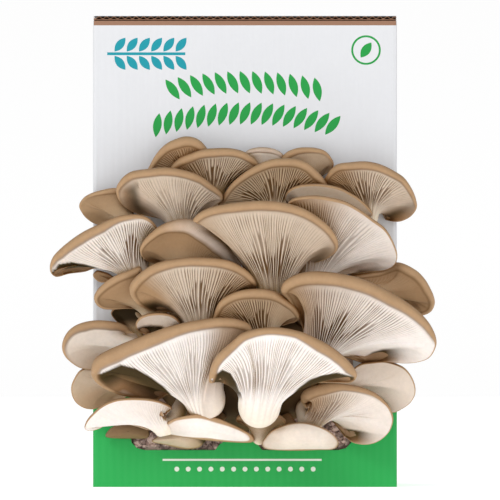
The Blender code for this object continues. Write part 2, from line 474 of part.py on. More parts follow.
def window_outline():
    """The window's corners as arcs, and the round-shouldered tab at its foot."""
    points = []
    corners = [(WINDOW_RIGHT, WINDOW_BOTTOM, -90), (WINDOW_RIGHT, WINDOW_TOP, 0),
               (WINDOW_LEFT, WINDOW_TOP, 90), (WINDOW_LEFT, WINDOW_BOTTOM, 180)]
    for x, z, start in corners:
        centre_x = x - math.copysign(WINDOW_CORNER, x)
        centre_z = z + (WINDOW_CORNER if z == WINDOW_BOTTOM else -WINDOW_CORNER)
        for angle in range(start, start + 91, 30):
            turn = math.radians(angle)
            points.append((centre_x + WINDOW_CORNER * math.cos(turn), centre_z + WINDOW_CORNER * math.sin(turn)))
    tab_steps = 10
    for step in range(tab_steps + 1):
        share = step / tab_steps
        rise = TAB_RISE * math.sin(math.pi * share) ** 0.6
        points.append((TAB_LEFT + (TAB_RIGHT - TAB_LEFT) * share, WINDOW_BOTTOM + rise))
    return points


def plate_from_outline(name, outline, low_y, high_y):
    """A mesh of a flat outline in X and Z, stood up and given a thickness along Y."""
    curve = bpy.data.curves.new(name, "CURVE")
    curve.dimensions = "2D"
    curve.fill_mode = "BOTH"
    curve.extrude = (high_y - low_y) / 2
    spline = curve.splines.new("POLY")
    spline.points.add(len(outline) - 1)
    for point, (x, z) in zip(spline.points, outline):
        point.co = (x, z, 0, 1)
    spline.use_cyclic_u = True
    holder = bpy.data.objects.new(name, curve)
    bpy.context.scene.collection.objects.link(holder)
    bpy.context.view_layer.update()
    evaluated = holder.evaluated_get(bpy.context.evaluated_depsgraph_get())
    mesh = bpy.data.meshes.new_from_object(evaluated)
    bpy.data.objects.remove(holder)
    bpy.data.curves.remove(curve)
    bm = bmesh.new()
    bm.from_mesh(mesh)
    bmesh.ops.remove_doubles(bm, verts=bm.verts, dist=1e-6)
    for vert in bm.verts:
        x, z, depth = vert.co
        vert.co = (x, (low_y + high_y) / 2 - depth, z)
    bmesh.ops.recalc_face_normals(bm, faces=bm.faces)
    bm.to_mesh(mesh)
    bm.free()
    return mesh


def cut(target, cutter):
    """Take the cutter out of the target."""
    cutter.hide_render = True
    cutter.display_type = "WIRE"
    modifier = target.modifiers.new("cut_" + cutter.name, "BOOLEAN")
    modifier.operation = "DIFFERENCE"
    modifier.solver = "EXACT"
    modifier.object = cutter


def build_carton(parts, cutters):
    """One folded sheet: bottom, walls and the two dust flaps that meet under the lid flap."""
    half_width = CARTON_WIDTH / 2
    half_depth = CARTON_DEPTH / 2
    board = material("carton_board", (0.70, 0.71, 0.72), 0.75)
    shell = box_mesh("carton", (-half_width, -half_depth, 0), (half_width, half_depth, CARTON_HEIGHT),
                     FOLD_RADIUS, 2, upright_only=True)
    carton = add("carton", shell, parts, board)
    inside = box_mesh("carton_inside", (-half_width + BOARD, -half_depth + BOARD, BOARD),
                      (half_width - BOARD, half_depth - BOARD, CARTON_HEIGHT - BOARD))
    cut(carton, add("carton_inside", inside, cutters))
    reach = 3 * BOARD
    window = plate_from_outline("carton_window", window_outline(), FRONT - reach, FRONT + reach)
    cut(carton, add("carton_window", window, cutters))


def build_lid_flap(parts):
    """The lid flap, with its raw front edge level with the carton's front."""
    board = material("flap_board", (0.66, 0.62, 0.56), 0.8)
    half_width = CARTON_WIDTH / 2 - FLAP_SIDE_INSET
    low_z = CARTON_HEIGHT + FLAP_CLEARANCE
    hinge = bpy.data.objects.new("lid_crease", None)
    hinge.location = (0, CREASE_Y, CREASE_Z)
    parts.objects.link(hinge)
    back = CARTON_DEPTH / 2 - 0.2 * MM
    plate = box_mesh("lid_flap", (-half_width, FRONT - CREASE_Y, low_z - CREASE_Z),
                     (half_width, back - CREASE_Y, low_z + BOARD - CREASE_Z))
    flap = add("lid_flap", plate, parts, board)
    flap.parent = hinge


def build_block(parts):
    """The block of growing substrate that fills the carton."""
    crumb = material("substrate", (0.42, 0.30, 0.24), 0.95)
    side = CARTON_WIDTH / 2 - BOARD - BLOCK_MARGIN
    depth = CARTON_DEPTH / 2 - BOARD - BLOCK_MARGIN
    block = box_mesh("substrate_block", (-side, -depth, BOARD + BLOCK_MARGIN), (side, depth, BLOCK_TOP),
                     BLOCK_ROUNDING, 2)
    add("substrate_block", block, parts, crumb)


def build_mound(parts):
    """The fused base of the cluster, swelling out of the window."""
    flesh = material("cluster_flesh", (0.55, 0.44, 0.32), 0.8)
    around = np.arange(MOUND_COLUMNS) / MOUND_COLUMNS * 2 * math.pi
    circle = np.stack([np.sin(around), np.zeros(MOUND_COLUMNS), np.cos(around)], axis=1)
    foot = MOUND_CENTRE + circle * MOUND_RADII + AHEAD * MOUND_BACK
    rings = [foot]
    for row in range(MOUND_ROWS):
        slope = row / MOUND_ROWS * math.pi / 2
        rings.append(MOUND_CENTRE + (circle * math.cos(slope) + AHEAD * math.sin(slope)) * MOUND_RADII)
    tips = MOUND_CENTRE + AHEAD * MOUND_BACK, MOUND_CENTRE + AHEAD * MOUND_RADII[1]
    add("cluster_base", loft("cluster_base", rings, tips), parts, flesh)


def apply_modifiers(target):
    """Give the object its evaluated mesh, in place of its modifiers."""
    bpy.context.view_layer.update()
    evaluated = target.evaluated_get(bpy.context.evaluated_depsgraph_get())
    mesh = bpy.data.meshes.new_from_object(evaluated)
    old = target.data
    target.modifiers.clear()
    target.data = mesh
    bpy.data.meshes.remove(old)
    mesh.name = target.name


def join_stem(cap, stem):
    """Make a cap and its stem one body."""
    join = cap.modifiers.new("stem", "BOOLEAN")
    join.operation = "UNION"
    join.solver = "EXACT"
    join.object = stem
    apply_modifiers(cap)
    bpy.data.objects.remove(stem)


def tree_of(mesh):
    return BVHTree.FromPolygons([vert.co for vert in mesh.vertices],
                                [tuple(face.vertices) for face in mesh.polygons])


def swollen(mesh, swell):
    """A copy of a mesh, pushed out along its normals."""
    grown = mesh.copy()
    for vert, normal in zip(grown.vertices, [vert.normal.copy() for vert in mesh.vertices]):
        vert.co += normal * swell
    return grown


def keep_largest_body(mesh):
    """Delete the loose crumbs that a cut leaves beside the main body."""
    bm = bmesh.new()
    bm.from_mesh(mesh)
    bmesh.ops.remove_doubles(bm, verts=bm.verts, dist=WELD)
    unseen = set(bm.verts)
    bodies = []
    while unseen:
        body = set()
        edge = [unseen.pop()]
        while edge:
            vert = edge.pop()
            body.add(vert)
            for link in vert.link_edges:
                other = link.other_vert(vert)
                if other in unseen:
                    unseen.remove(other)
                    edge.append(other)
        bodies.append(body)
    largest = max(bodies, key=len)
    crumbs = [vert for vert in bm.verts if vert not in largest]
    bmesh.ops.delete(bm, geom=crumbs, context="VERTS")
    bm.to_mesh(mesh)
    bm.free()


def closed_volume(mesh):
    """The volume inside a mesh, or none where it isn't closed."""
    bm = bmesh.new()
    bm.from_mesh(mesh)
    volume = bm.calc_volume() if all(edge.is_manifold for edge in bm.edges) else 0
    bm.free()
    return volume


def make_room(body, neighbours, cutters):
    """Cut a body back to a gap from each neighbour that it would run into. Where a cut
    leaves an open body, it is made again with a slightly wider gap."""
    for neighbour in neighbours:
        if not tree_of(body.data).overlap(tree_of(swollen(neighbour, GAP))):
            continue
        whole = body.data.copy()
        for widening in GAP_TRIES:
            cutter = add("room", swollen(neighbour, GAP * widening), cutters)
            cut(body, cutter)
            apply_modifiers(body)
            bpy.data.objects.remove(cutter)
            if len(body.data.vertices):
                keep_largest_body(body.data)
            if closed_volume(body.data) > LEAST_LEFT * closed_volume(whole):
                break
            body.data = whole.copy()
            body.data.name = body.name


def build_mushrooms(parts, cutters):
    """Every mushroom of the cluster, each a stem and cap grown as one piece. The ones in
    front come first, and those behind grow around them."""
    grown = [bpy.data.objects["cluster_base"].data]
    for spec in sorted(MUSHROOMS, key=lambda spec: -spec["neck"][1]):
        flesh = material(spec["name"] + "_flesh", (0.78, 0.68, 0.56), 0.6)
        under_rows, top_rows = (3, 2) if spec["columns"] >= LARGE_CAP else (2, 1)
        cap = loft(spec["name"], *cap_rings(spec, spec["columns"], under_rows, top_rows))
        stem = loft(spec["name"] + "_stem", *stem_rings(spec, STEM_SIDES, rows=2))
        body = add(spec["name"], cap.copy(), parts, flesh)
        join_stem(body, add(spec["name"] + "_stem", stem.copy(), cutters))
        make_room(body, grown, cutters)
        body.data.shade_smooth()
        grown += [cap, stem]


def main():
    for old in list(bpy.data.objects):
        bpy.data.objects.remove(old)
    parts = collection("oyster_mushroom_grow_kit")
    cutters = collection("cutters")
    build_carton(parts, cutters)
    build_lid_flap(parts)
    build_block(parts)
    build_mound(parts)
    build_mushrooms(parts, cutters)


main()
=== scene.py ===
"""Looks of the oyster mushroom grow kit: fine gilled mushrooms, printed carton, crumbly
substrate, camera, floor and light. Tables are in millimetres, as (x, forward, z), where
forward is the distance in front of the carton."""

import math

import bmesh
import bpy
import numpy as np
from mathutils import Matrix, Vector


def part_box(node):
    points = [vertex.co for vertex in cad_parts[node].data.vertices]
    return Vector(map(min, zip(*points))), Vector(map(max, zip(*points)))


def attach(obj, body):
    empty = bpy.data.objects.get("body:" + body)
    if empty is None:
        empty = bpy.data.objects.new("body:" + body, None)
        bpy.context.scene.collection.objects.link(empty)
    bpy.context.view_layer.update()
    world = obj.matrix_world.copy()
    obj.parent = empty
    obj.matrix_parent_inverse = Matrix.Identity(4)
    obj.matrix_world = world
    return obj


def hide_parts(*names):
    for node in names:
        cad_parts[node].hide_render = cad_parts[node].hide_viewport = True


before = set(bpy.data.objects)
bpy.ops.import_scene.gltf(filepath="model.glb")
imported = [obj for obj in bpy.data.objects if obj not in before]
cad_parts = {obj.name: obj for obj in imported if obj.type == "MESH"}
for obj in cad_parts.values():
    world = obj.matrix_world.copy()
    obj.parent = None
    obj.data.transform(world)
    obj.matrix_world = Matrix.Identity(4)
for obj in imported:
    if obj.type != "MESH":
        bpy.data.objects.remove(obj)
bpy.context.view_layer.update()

MM = 0.001
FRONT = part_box("carton")[0].y

# The photograph's frame, in pixels, and what it spans
IMAGE_SIZE = 500
PIXEL = 0.352 * MM
VIEW_CENTRE_X = 1.76 * MM
VIEW_CENTRE_Z = 83.42 * MM
CAMERA_DISTANCE = 5.0
SENSOR_WIDTH = 36.0

# How a mushroom is made, in millimetres or as shares of the length of its gills
MOUND_CENTRE = np.array([-1.0, 0.0, 44.0])
MOUND_RADII = np.array([33.0, 14.0, 24.5])
GILL_RISE = 0.36
GILL_APPROACH = 0.30
STEM_PULL = 0.42
SKIN = 0.9
FOOT_LIFT = 0.9
CLEAR_OF_CARTON = 0.5
CURVE_STEPS = 24
SIDE_TURN = 96
BACK_COLUMNS = 14
GILL_SPACING = 1.05
SMOOTH_SPACING = 2.4
GILL_DEPTH = 0.5
COLUMNS_PER_GILL = 4
LARGE_RIM = 80
LENS_COLUMNS = 120
LENS_ROWS = 24

# Every mushroom. root is (x, z) on the mound, neck is where the gills leave the stem,
# rim is the outer edge of the cap as (x, z, extra forward), clockwise from its left end.
# lean is how far the cap comes forward for each millimetre that it rises.
MUSHROOMS = [
    dict(name="mushroom_front_centre", root=(5, 31), root_radius=7, neck=(5.3, 30, 30.5), neck_radius=7.6,
         lean=0.6, curl=1.2,
         rim=[(-10, 38.5, -4), (-12.7, 37, 0), (-12, 42.6, 1), (-9.9, 46.1, 1), (-5.3, 50.3, 0), (-0.7, 53.9, 0),
              (8.8, 55.8, 0), (18.3, 54.6, 0), (25.3, 51.7, 0), (32.4, 47.5, 1), (38, 42.2, 2), (39.2, 39.1, 1),
              (37, 37, -1), (31.7, 37, -4), (24, 36.6, -7)]),
    dict(name="mushroom_front_left", root=(-13, 35), root_radius=4.6, neck=(-14, 20, 31), neck_radius=7.4,
         lean=0.55, curl=1.5,
         rim=[(-27, 32.6, -5), (-30, 31, -5), (-36, 31.3, -4), (-44, 32.4, -3), (-49.6, 34.8, -1),
              (-53.2, 37.7, 0), (-54.2, 40.8, 2), (-52.8, 44.7, 2), (-45.1, 48.9, 1), (-33.4, 53.5, 0),
              (-26.4, 56, 0), (-16.9, 58.1, 0), (-8.8, 59.1, 0), (-1.8, 58.4, 0), (2.5, 55.6, -1)]),
    dict(name="mushroom_front_right", root=(20, 43), root_radius=4.2, neck=(23, 18, 44), neck_radius=6,
         lean=0.6, curl=1.5,
         rim=[(20.4, 54.6, -4), (18, 60.5, -3), (14.8, 65.8, -2), (12.3, 69, 0), (13.4, 71.5, 0), (17.6, 73.9, 0),
              (23.2, 75, 0), (33.1, 74.3, 0), (42.9, 71.8, 0), (52.8, 66.9, 0), (60.2, 61.9, 1), (65.1, 56.7, 2),
              (67.2, 51.4, 3), (66.5, 48.2, 3), (64.4, 45.4, 2), (60.5, 44, 0), (56, 43.6, -3), (49.3, 44, -5),
              (42.2, 43.3, -7)]),
    dict(name="mushroom_centre_small", root=(6, 47), root_radius=3, neck=(6, 23, 52.4), neck_radius=4.4,
         lean=0.5, curl=1.2,
         rim=[(-12, 56, -3), (-11.3, 59.5, 0), (-9.2, 64.8, 0), (-3.9, 68.1, 0), (3.5, 69.3, 0), (10.9, 68.3, 0),
              (15.8, 65.5, 0), (18.7, 62.7, 0), (19.7, 59.8, 0), (18, 58.1, -1), (14.1, 57, -2)]),
    dict(name="mushroom_middle_centre", root=(7, 58), root_radius=3.6, neck=(9.7, 17, 66), neck_radius=5.4,
         lean=0.5, curl=1.5,
         rim=[(-8.8, 88.3, -8), (-14.1, 91.5, -4), (-18.3, 93.6, 0), (-15.8, 96.1, 0), (-11.6, 97.9, 0),
              (-1.8, 99.6, 0), (8.8, 100, 0), (19.4, 97.9, 0), (26.4, 94, 0), (30.6, 90.1, 1), (32.7, 86.2, 2),
              (32.4, 83.4, 2), (28.9, 80.3, 0), (23.9, 78.5, -3), (20.1, 76.4, -6)]),
    dict(name="mushroom_middle_left", root=(-14, 51), root_radius=4, neck=(-15.8, 19, 57.5), neck_radius=5.8,
         lean=0.5, curl=1.5,
         rim=[(-31.3, 61.6, -5), (-34.1, 62.3, -3), (-37.7, 64.1, 0), (-40.1, 66.9, 0), (-40.8, 69.7, 0),
              (-39.4, 72.5, 0), (-32.7, 77.6, 0), (-23.6, 79.9, 0), (-14.8, 80.3, 0), (-5.6, 79.2, 0),
              (-1.4, 77.3, 0), (1.8, 75, 0), (3.9, 72.2, 0), (3.6, 69.7, -2)]),
    dict(name="mushroom_middle_right", root=(20, 59), root_radius=3.4, neck=(21.5, 12, 70.5), neck_radius=5.2,
         lean=0.5, curl=1.5,
         rim=[(14.1, 95.7, -3), (16.2, 100.7, 0), (23.6, 102.1, 0), (29.9, 101.4, 0), (35.2, 100, 0),
              (40.5, 97.1, 0), (44.7, 94, 0), (49.3, 90.5, 0), (52.4, 85.2, 1), (53.5, 81, 1), (52.4, 78.1, 0),
              (49.3, 76.4, -1), (44, 75.7, -3), (37, 75, -5)]),
    dict(name="mushroom_centre_left", root=(-16, 60), root_radius=3.2, neck=(-19.4, 13, 74), neck_radius=4.8,
         lean=0.55, curl=1.5,
         rim=[(-32.7, 78.8, -4), (-35.9, 80.6, 0), (-37, 83.4, 2), (-35.9, 85.9, 2), (-33.4, 88.7, 1),
              (-29.9, 91.3, 0), (-26.4, 92.7, 0), (-22.2, 93.5, 0), (-18.3, 93.2, 0), (-13.4, 91.2, 0),
              (-8.8, 88.3, 0), (-4.9, 84.5, 0), (-2.5, 80.6, -1), (-1.4, 77.1, -3)]),
    dict(name="mushroom_left_wing", root=(-27, 56), root_radius=3.2, neck=(-37.7, 9, 73.6), neck_radius=4.8,
         lean=0.45, curl=1.5,
         rim=[(-52.1, 76.9, -5), (-56.3, 75.7, -5), (-61.6, 75, -3), (-66.5, 73.9, 0), (-68.3, 75.3, 1),
              (-68.6, 77.8, 2), (-67.6, 80.6, 2), (-65.1, 83.4, 1), (-58.1, 88.7, 0), (-51, 92.2, 0),
              (-44, 95, 0), (-37, 95.4, 0), (-33.4, 94, 0), (-31, 91.5, -1), (-29.9, 88.3, -3)]),
    dict(name="mushroom_upper_left", root=(-21, 63), root_radius=2.8, neck=(-22.9, 7.5, 91.2), neck_radius=4.4,
         lean=0.5, curl=1.2,
         rim=[(-37, 95.7, -4), (-41.9, 98.2, -2), (-44.7, 101.4, 0), (-45.4, 104.5, 0), (-44, 107.4, 0),
              (-40.5, 110.2, 0), (-33.4, 111.4, 0), (-28.2, 111.9, 0), (-21.1, 110.9, 0), (-15.8, 109.1, 0),
              (-11.3, 105.9, 0), (-8.1, 103.1, 0), (-7.7, 101, 0), (-10.6, 98.9, -2), (-14.1, 96.4, -4)]),
    dict(name="mushroom_upper_centre", root=(9, 66), root_radius=2.8, neck=(11.3, 8.5, 97.5), neck_radius=4.4,
         lean=0.5, curl=1.2,
         rim=[(-9.5, 98.6, -3), (-8.1, 101.7, 0), (-5.3, 105.9, 0), (-1.8, 109.1, 0), (1.8, 111.6, 0),
              (8.8, 114.6, 0), (14.1, 115.1, 0), (19.4, 114.6, 0), (22.9, 113, 0), (25.7, 110.5, 0),
              (28.2, 107.7, 0), (29.2, 105.2, 0), (27.1, 102.4, -2)]),
    dict(name="mushroom_upper_right", root=(28, 55.5), root_radius=2.4, neck=(43.3, 6, 96.3), neck_radius=3.8,
         lean=0.5, curl=1.2,
         rim=[(27.1, 105.6, -2), (28.2, 108.8, 0), (29.9, 111.2, 0), (32.4, 113, 0), (37, 113.7, 0),
              (42.2, 114, 0), (47.5, 113, 0), (52.8, 110.5, 0), (56.3, 108.1, 0), (58.8, 104.5, 1),
              (60.2, 101, 1), (60.5, 98.2, 1), (58.1, 95, 0), (53.9, 93.3, -1), (49.3, 94, -3)]),
    dict(name="mushroom_upper_right_pale", root=(25, 62), root_radius=2.2, neck=(31, 7, 84), neck_radius=2.8,
         lean=0.5, curl=1.0,
         rim=[(14.1, 101, -2), (15.8, 104.5, 0), (19.4, 105.9, 0), (24.6, 106.3, 0), (29.2, 105.9, 0),
              (33.4, 104.9, 0), (37, 103.1, 0), (39.8, 101.4, 0), (43.3, 98.2, 0), (44.7, 95.4, -2)]),
    dict(name="mushroom_top_centre_left", root=(-5, 67.4), root_radius=2.4, neck=(-10.6, 4.6, 102.8),
         neck_radius=3.8, lean=0.5, curl=1.2,
         rim=[(-26.4, 110.5, -2), (-25.7, 113, 0), (-22.9, 115.5, 0), (-19.4, 116.9, 0), (-15.8, 118.1, 0),
              (-10.6, 118.6, 0), (-5.3, 118.6, 0), (-0.7, 117.6, 0), (2.5, 115.8, 0), (4.9, 113.3, 0),
              (4.2, 110.5, -1)]),
    dict(name="mushroom_top_left", root=(-12, 66.5), root_radius=1.8, neck=(-20.2, 3.6, 108.8), neck_radius=2.6,
         lean=0.5, curl=1.0,
         rim=[(-34.1, 110.9, -1), (-33.4, 113.3, 0), (-31.3, 116.9, 0), (-28.2, 120, 0), (-24.6, 121.8, 0),
              (-21.1, 122.7, 0), (-17.6, 122.3, 0), (-14.8, 120.7, 0), (-12.7, 117.9, 0), (-12.3, 114.7, -1)]),
    dict(name="mushroom_top_bud", root=(2, 67.8), root_radius=1.5, neck=(7, 3, 108.8), neck_radius=2.2,
         lean=0.35, curl=0.6,
         rim=[(-0.7, 115.1, -1), (0.4, 117.9, 0), (3.5, 119.1, 0), (7, 119.3, 0), (10.6, 118.6, 0),
              (13.4, 116.9, 0), (14.4, 114.4, -1)]),
    dict(name="mushroom_top_right", root=(13, 66.2), root_radius=1.8, neck=(22.2, 3.4, 106.3), neck_radius=2.6,
         lean=0.4, curl=0.8,
         rim=[(12.3, 114.4, -1), (14.1, 117.2, 0), (16.5, 118.4, 0), (19.4, 119.1, 0), (24.6, 119, 0),
              (28.2, 117.9, 0), (30.3, 115.8, 0), (31.3, 113.3, 0), (29.9, 110.9, -1)]),
    dict(name="mushroom_far_left", root=(-22, 58.5), root_radius=2, neck=(-41.2, 4, 92.2), neck_radius=2.6,
         lean=0.3, curl=0.8,
         rim=[(-51.7, 92.2, -1), (-55.3, 94, 0), (-57.4, 96.4, 1), (-58.4, 98.9, 1), (-57, 101.4, 1),
              (-54.6, 103, 0), (-51, 104.2, 0), (-45.1, 105.1, 0), (-40.5, 103.8, -1), (-37.7, 101, -2)]),
    dict(name="mushroom_right_wing", root=(28, 49), root_radius=2.6, neck=(37, 9, 66), neck_radius=3.6,
         lean=0.15, curl=1.2,
         rim=[(35.6, 73.9, -2), (39.8, 75, 0), (46.8, 76.6, 0), (53.5, 79.2, 1), (60.2, 76.4, 3),
              (63.4, 73.2, 4), (65.1, 70.4, 4), (66.5, 67.2, 4), (66.9, 64.4, 3), (65.5, 61.6, 2),
              (62.3, 60.2, 1), (58.1, 60.9, -1), (52.8, 61.5, -2)]),
    dict(name="mushroom_low_right", root=(27, 36), root_radius=2.8, neck=(34, 10, 35.5), neck_radius=3.8,
         lean=0.3, curl=1.2,
         rim=[(37, 38.4, -1), (38, 41.5, 0), (40.5, 43.3, 0), (44.4, 44, 0), (49.3, 44.3, 0), (53.2, 43.3, 1),
              (56, 41.9, 2), (58.4, 39.1, 3), (59.8, 35.5, 4), (59.8, 32.7, 4), (58.1, 29.6, 3),
              (55.3, 27.5, 2), (52.4, 26.2, 1), (49.3, 26.8, -1), (44, 29.2, -2)]),
    dict(name="mushroom_bottom_right", root=(20, 29), root_radius=3, neck=(23.6, 14, 23), neck_radius=4,
         lean=0.5, curl=1.5,
         rim=[(19.4, 29.9, -2), (19.7, 32.7, 0), (22.2, 34.5, 0), (26.4, 35.7, 0), (32.4, 36.1, 0),
              (39.4, 35.2, 0), (44.7, 33.4, 0), (48.2, 31, 0), (51, 27.8, 1), (52.1, 23.9, 2), (51, 20.1, 3),
              (48.9, 17.6, 3), (45.8, 15.7, 2), (41.9, 15, 1), (37.7, 15.8, -1), (34.8, 17.9, -3)]),
    dict(name="mushroom_bottom_centre_right", root=(13, 25.5), root_radius=2.4, neck=(15, 19, 16.6),
         neck_radius=2.8, lean=0.7, curl=0.6,
         rim=[(7, 13.9, 0), (6, 15.5, 0), (7.4, 17.9, 0), (9.5, 20.2, 0), (13, 21.8, 0), (16.5, 22.7, 0),
              (20.4, 22.9, 0), (24.6, 22, 0), (28.9, 20.2, 0), (31.7, 17.9, 0), (32.7, 15.8, 0),
              (31.3, 13.7, -1), (26, 13.3, -1)]),
    dict(name="mushroom_bottom_centre", root=(3, 25), root_radius=2, neck=(5, 13.5, 17.6), neck_radius=2.6,
         lean=0.6, curl=0.6,
         rim=[(-3.2, 23.2, -1), (-2.5, 24.8, 0), (1.1, 25.6, 0), (6, 25.7, 0), (10.6, 25.6, 0),
              (13.4, 24.4, 0), (14.4, 22.9, 0), (13, 21.5, -1)]),
    dict(name="mushroom_bottom_centre_left", root=(-9, 26), root_radius=2.8, neck=(-9, 17, 17.6),
         neck_radius=3.4, lean=0.7, curl=0.8,
         rim=[(-28.9, 19.7, -1), (-27.8, 22.2, 0), (-25.7, 23.9, 0), (-21.8, 25, 0), (-16.9, 25.7, 0),
              (-13, 25.3, 0), (-8.8, 24.1, 0), (-4.6, 22.3, 0), (-0.7, 20.4, 0), (2.5, 18.3, 0),
              (3.2, 16.5, 0), (0.7, 15.8, -1)]),
    dict(name="mushroom_bottom_bud", root=(-18, 28), root_radius=1.8, neck=(-20.5, 7, 18), neck_radius=2.2,
         lean=0.4, curl=0.8,
         rim=[(-28.2, 15, -1), (-32.7, 16.2, 0), (-30.6, 17.9, 0), (-27.8, 19.5, 0), (-24.3, 20.8, 0),
              (-20.4, 21.6, 0), (-16.9, 20.9, 0), (-14.4, 19.2, 0), (-13.7, 17.2, 0), (-15.8, 14.4, 0),
              (-20.1, 13.5, 0)]),
    dict(name="mushroom_bottom_left", root=(-21, 31), root_radius=2.6, neck=(-29.5, 18, 21.5), neck_radius=3.6,
         lean=0.5, curl=1.2,
         rim=[(-33.4, 20.1, -4), (-38, 21.4, -4), (-43.6, 22.6, -3), (-48.2, 22, -2), (-51.4, 20.6, -1),
              (-54.6, 19.9, 0), (-56.3, 20.8, 1), (-55.6, 23.2, 1), (-53.2, 26, 1), (-49.6, 29, 0),
              (-45.1, 30.8, 0), (-40.5, 31.3, 0), (-33.4, 31, 0), (-28.5, 29.7, -1), (-25.5, 27.5, -2)]),
    dict(name="mushroom_bottom_left_young", root=(-28, 36), root_radius=1.6, neck=(-36, 5, 20.5),
         neck_radius=1.8, lean=0.3, curl=0.5,
         rim=[(-48.9, 17.9, 0), (-47.5, 20.4, 0), (-43.3, 22.5, 0), (-38.4, 22.5, 0), (-34.1, 20.1, 0),
              (-34.1, 17.6, 0), (-41.2, 17.2, 0)]),
    dict(name="mushroom_low_left", root=(-29, 41), root_radius=2.4, neck=(-37, 5, 34.5), neck_radius=2.8,
         lean=0.2, curl=1.0,
         rim=[(-46.8, 29.2, -1), (-50.3, 28.3, 1), (-53.5, 27.3, 3), (-56.7, 27.8, 4), (-59.5, 29.7, 4),
              (-60.9, 32.4, 4), (-61.1, 35.5, 4), (-59.8, 38.7, 3), (-58.1, 41, 2), (-54.6, 42.6, 1),
              (-49.3, 43.3, 0), (-44, 41.9, -1)]),
    dict(name="mushroom_left_pale", root=(-28, 47), root_radius=2.8, neck=(-38.7, 10, 48.2), neck_radius=3.8,
         lean=0.3, curl=1.2,
         rim=[(-51, 40.8, -2), (-54.6, 41.2, 0), (-58.1, 41.9, 1), (-60.9, 43.6, 2), (-63.4, 46.1, 3),
              (-64.4, 48.9, 3), (-63.7, 52.4, 3), (-61.6, 55.4, 2), (-58.1, 57.5, 1), (-52.8, 58.6, 0),
              (-47.5, 58.4, 0), (-43.3, 57.5, -1), (-40.5, 55.6, -2)]),
    dict(name="mushroom_left_young", root=(-22, 45), root_radius=2, neck=(-29, 21, 52.5), neck_radius=2.6,
         lean=0.4, curl=0.8,
         rim=[(-34.8, 53.7, 0), (-37.7, 55.3, 0), (-38.4, 57.4, 0), (-37, 59.5, 0), (-34.5, 60.7, 0),
              (-30.6, 61.2, 0), (-26.4, 60.7, 0), (-23.6, 59.1, 0), (-22.6, 57, -1)]),
    dict(name="mushroom_left_shaded", root=(-31.5, 48.5), root_radius=1.6, neck=(-38.5, 4.8, 54.5), neck_radius=2,
         lean=0.3, curl=0.8,
         rim=[(-39.4, 54.9, -1), (-43.3, 56.7, 0), (-45.8, 58.8, 0), (-47.2, 61.1, 0), (-46.1, 62.8, 0),
              (-42.6, 63.5, 0), (-38.4, 63.2, 0), (-34.1, 61.2, 0), (-33.4, 59.1, -1)]),
    dict(name="mushroom_left_brown", root=(-27, 51), root_radius=2.4, neck=(-33.4, 13, 61.5), neck_radius=3,
         lean=0.35, curl=0.8,
         rim=[(-37, 62.4, -3), (-42.2, 62.6, -1), (-47.2, 62.3, 0), (-50.3, 62.7, 0), (-52.4, 64.2, 0),
              (-53.2, 66.5, 0), (-52.4, 68.6, 0), (-49.6, 71.6, 0), (-45.8, 74.1, 0), (-40.8, 76, 0),
              (-36.3, 77.1, -1)]),
    dict(name="mushroom_left_tip_young", root=(-30, 54), root_radius=1.3, neck=(-44, 6, 70), neck_radius=1.6,
         lean=0.3, curl=0.4,
         rim=[(-48.2, 71.8, 0), (-51, 72, 0), (-52.8, 73.2, 0), (-53.5, 74.6, 0), (-52.1, 76, 0),
              (-49.6, 75.6, 0), (-46.8, 74.3, 0)]),
]

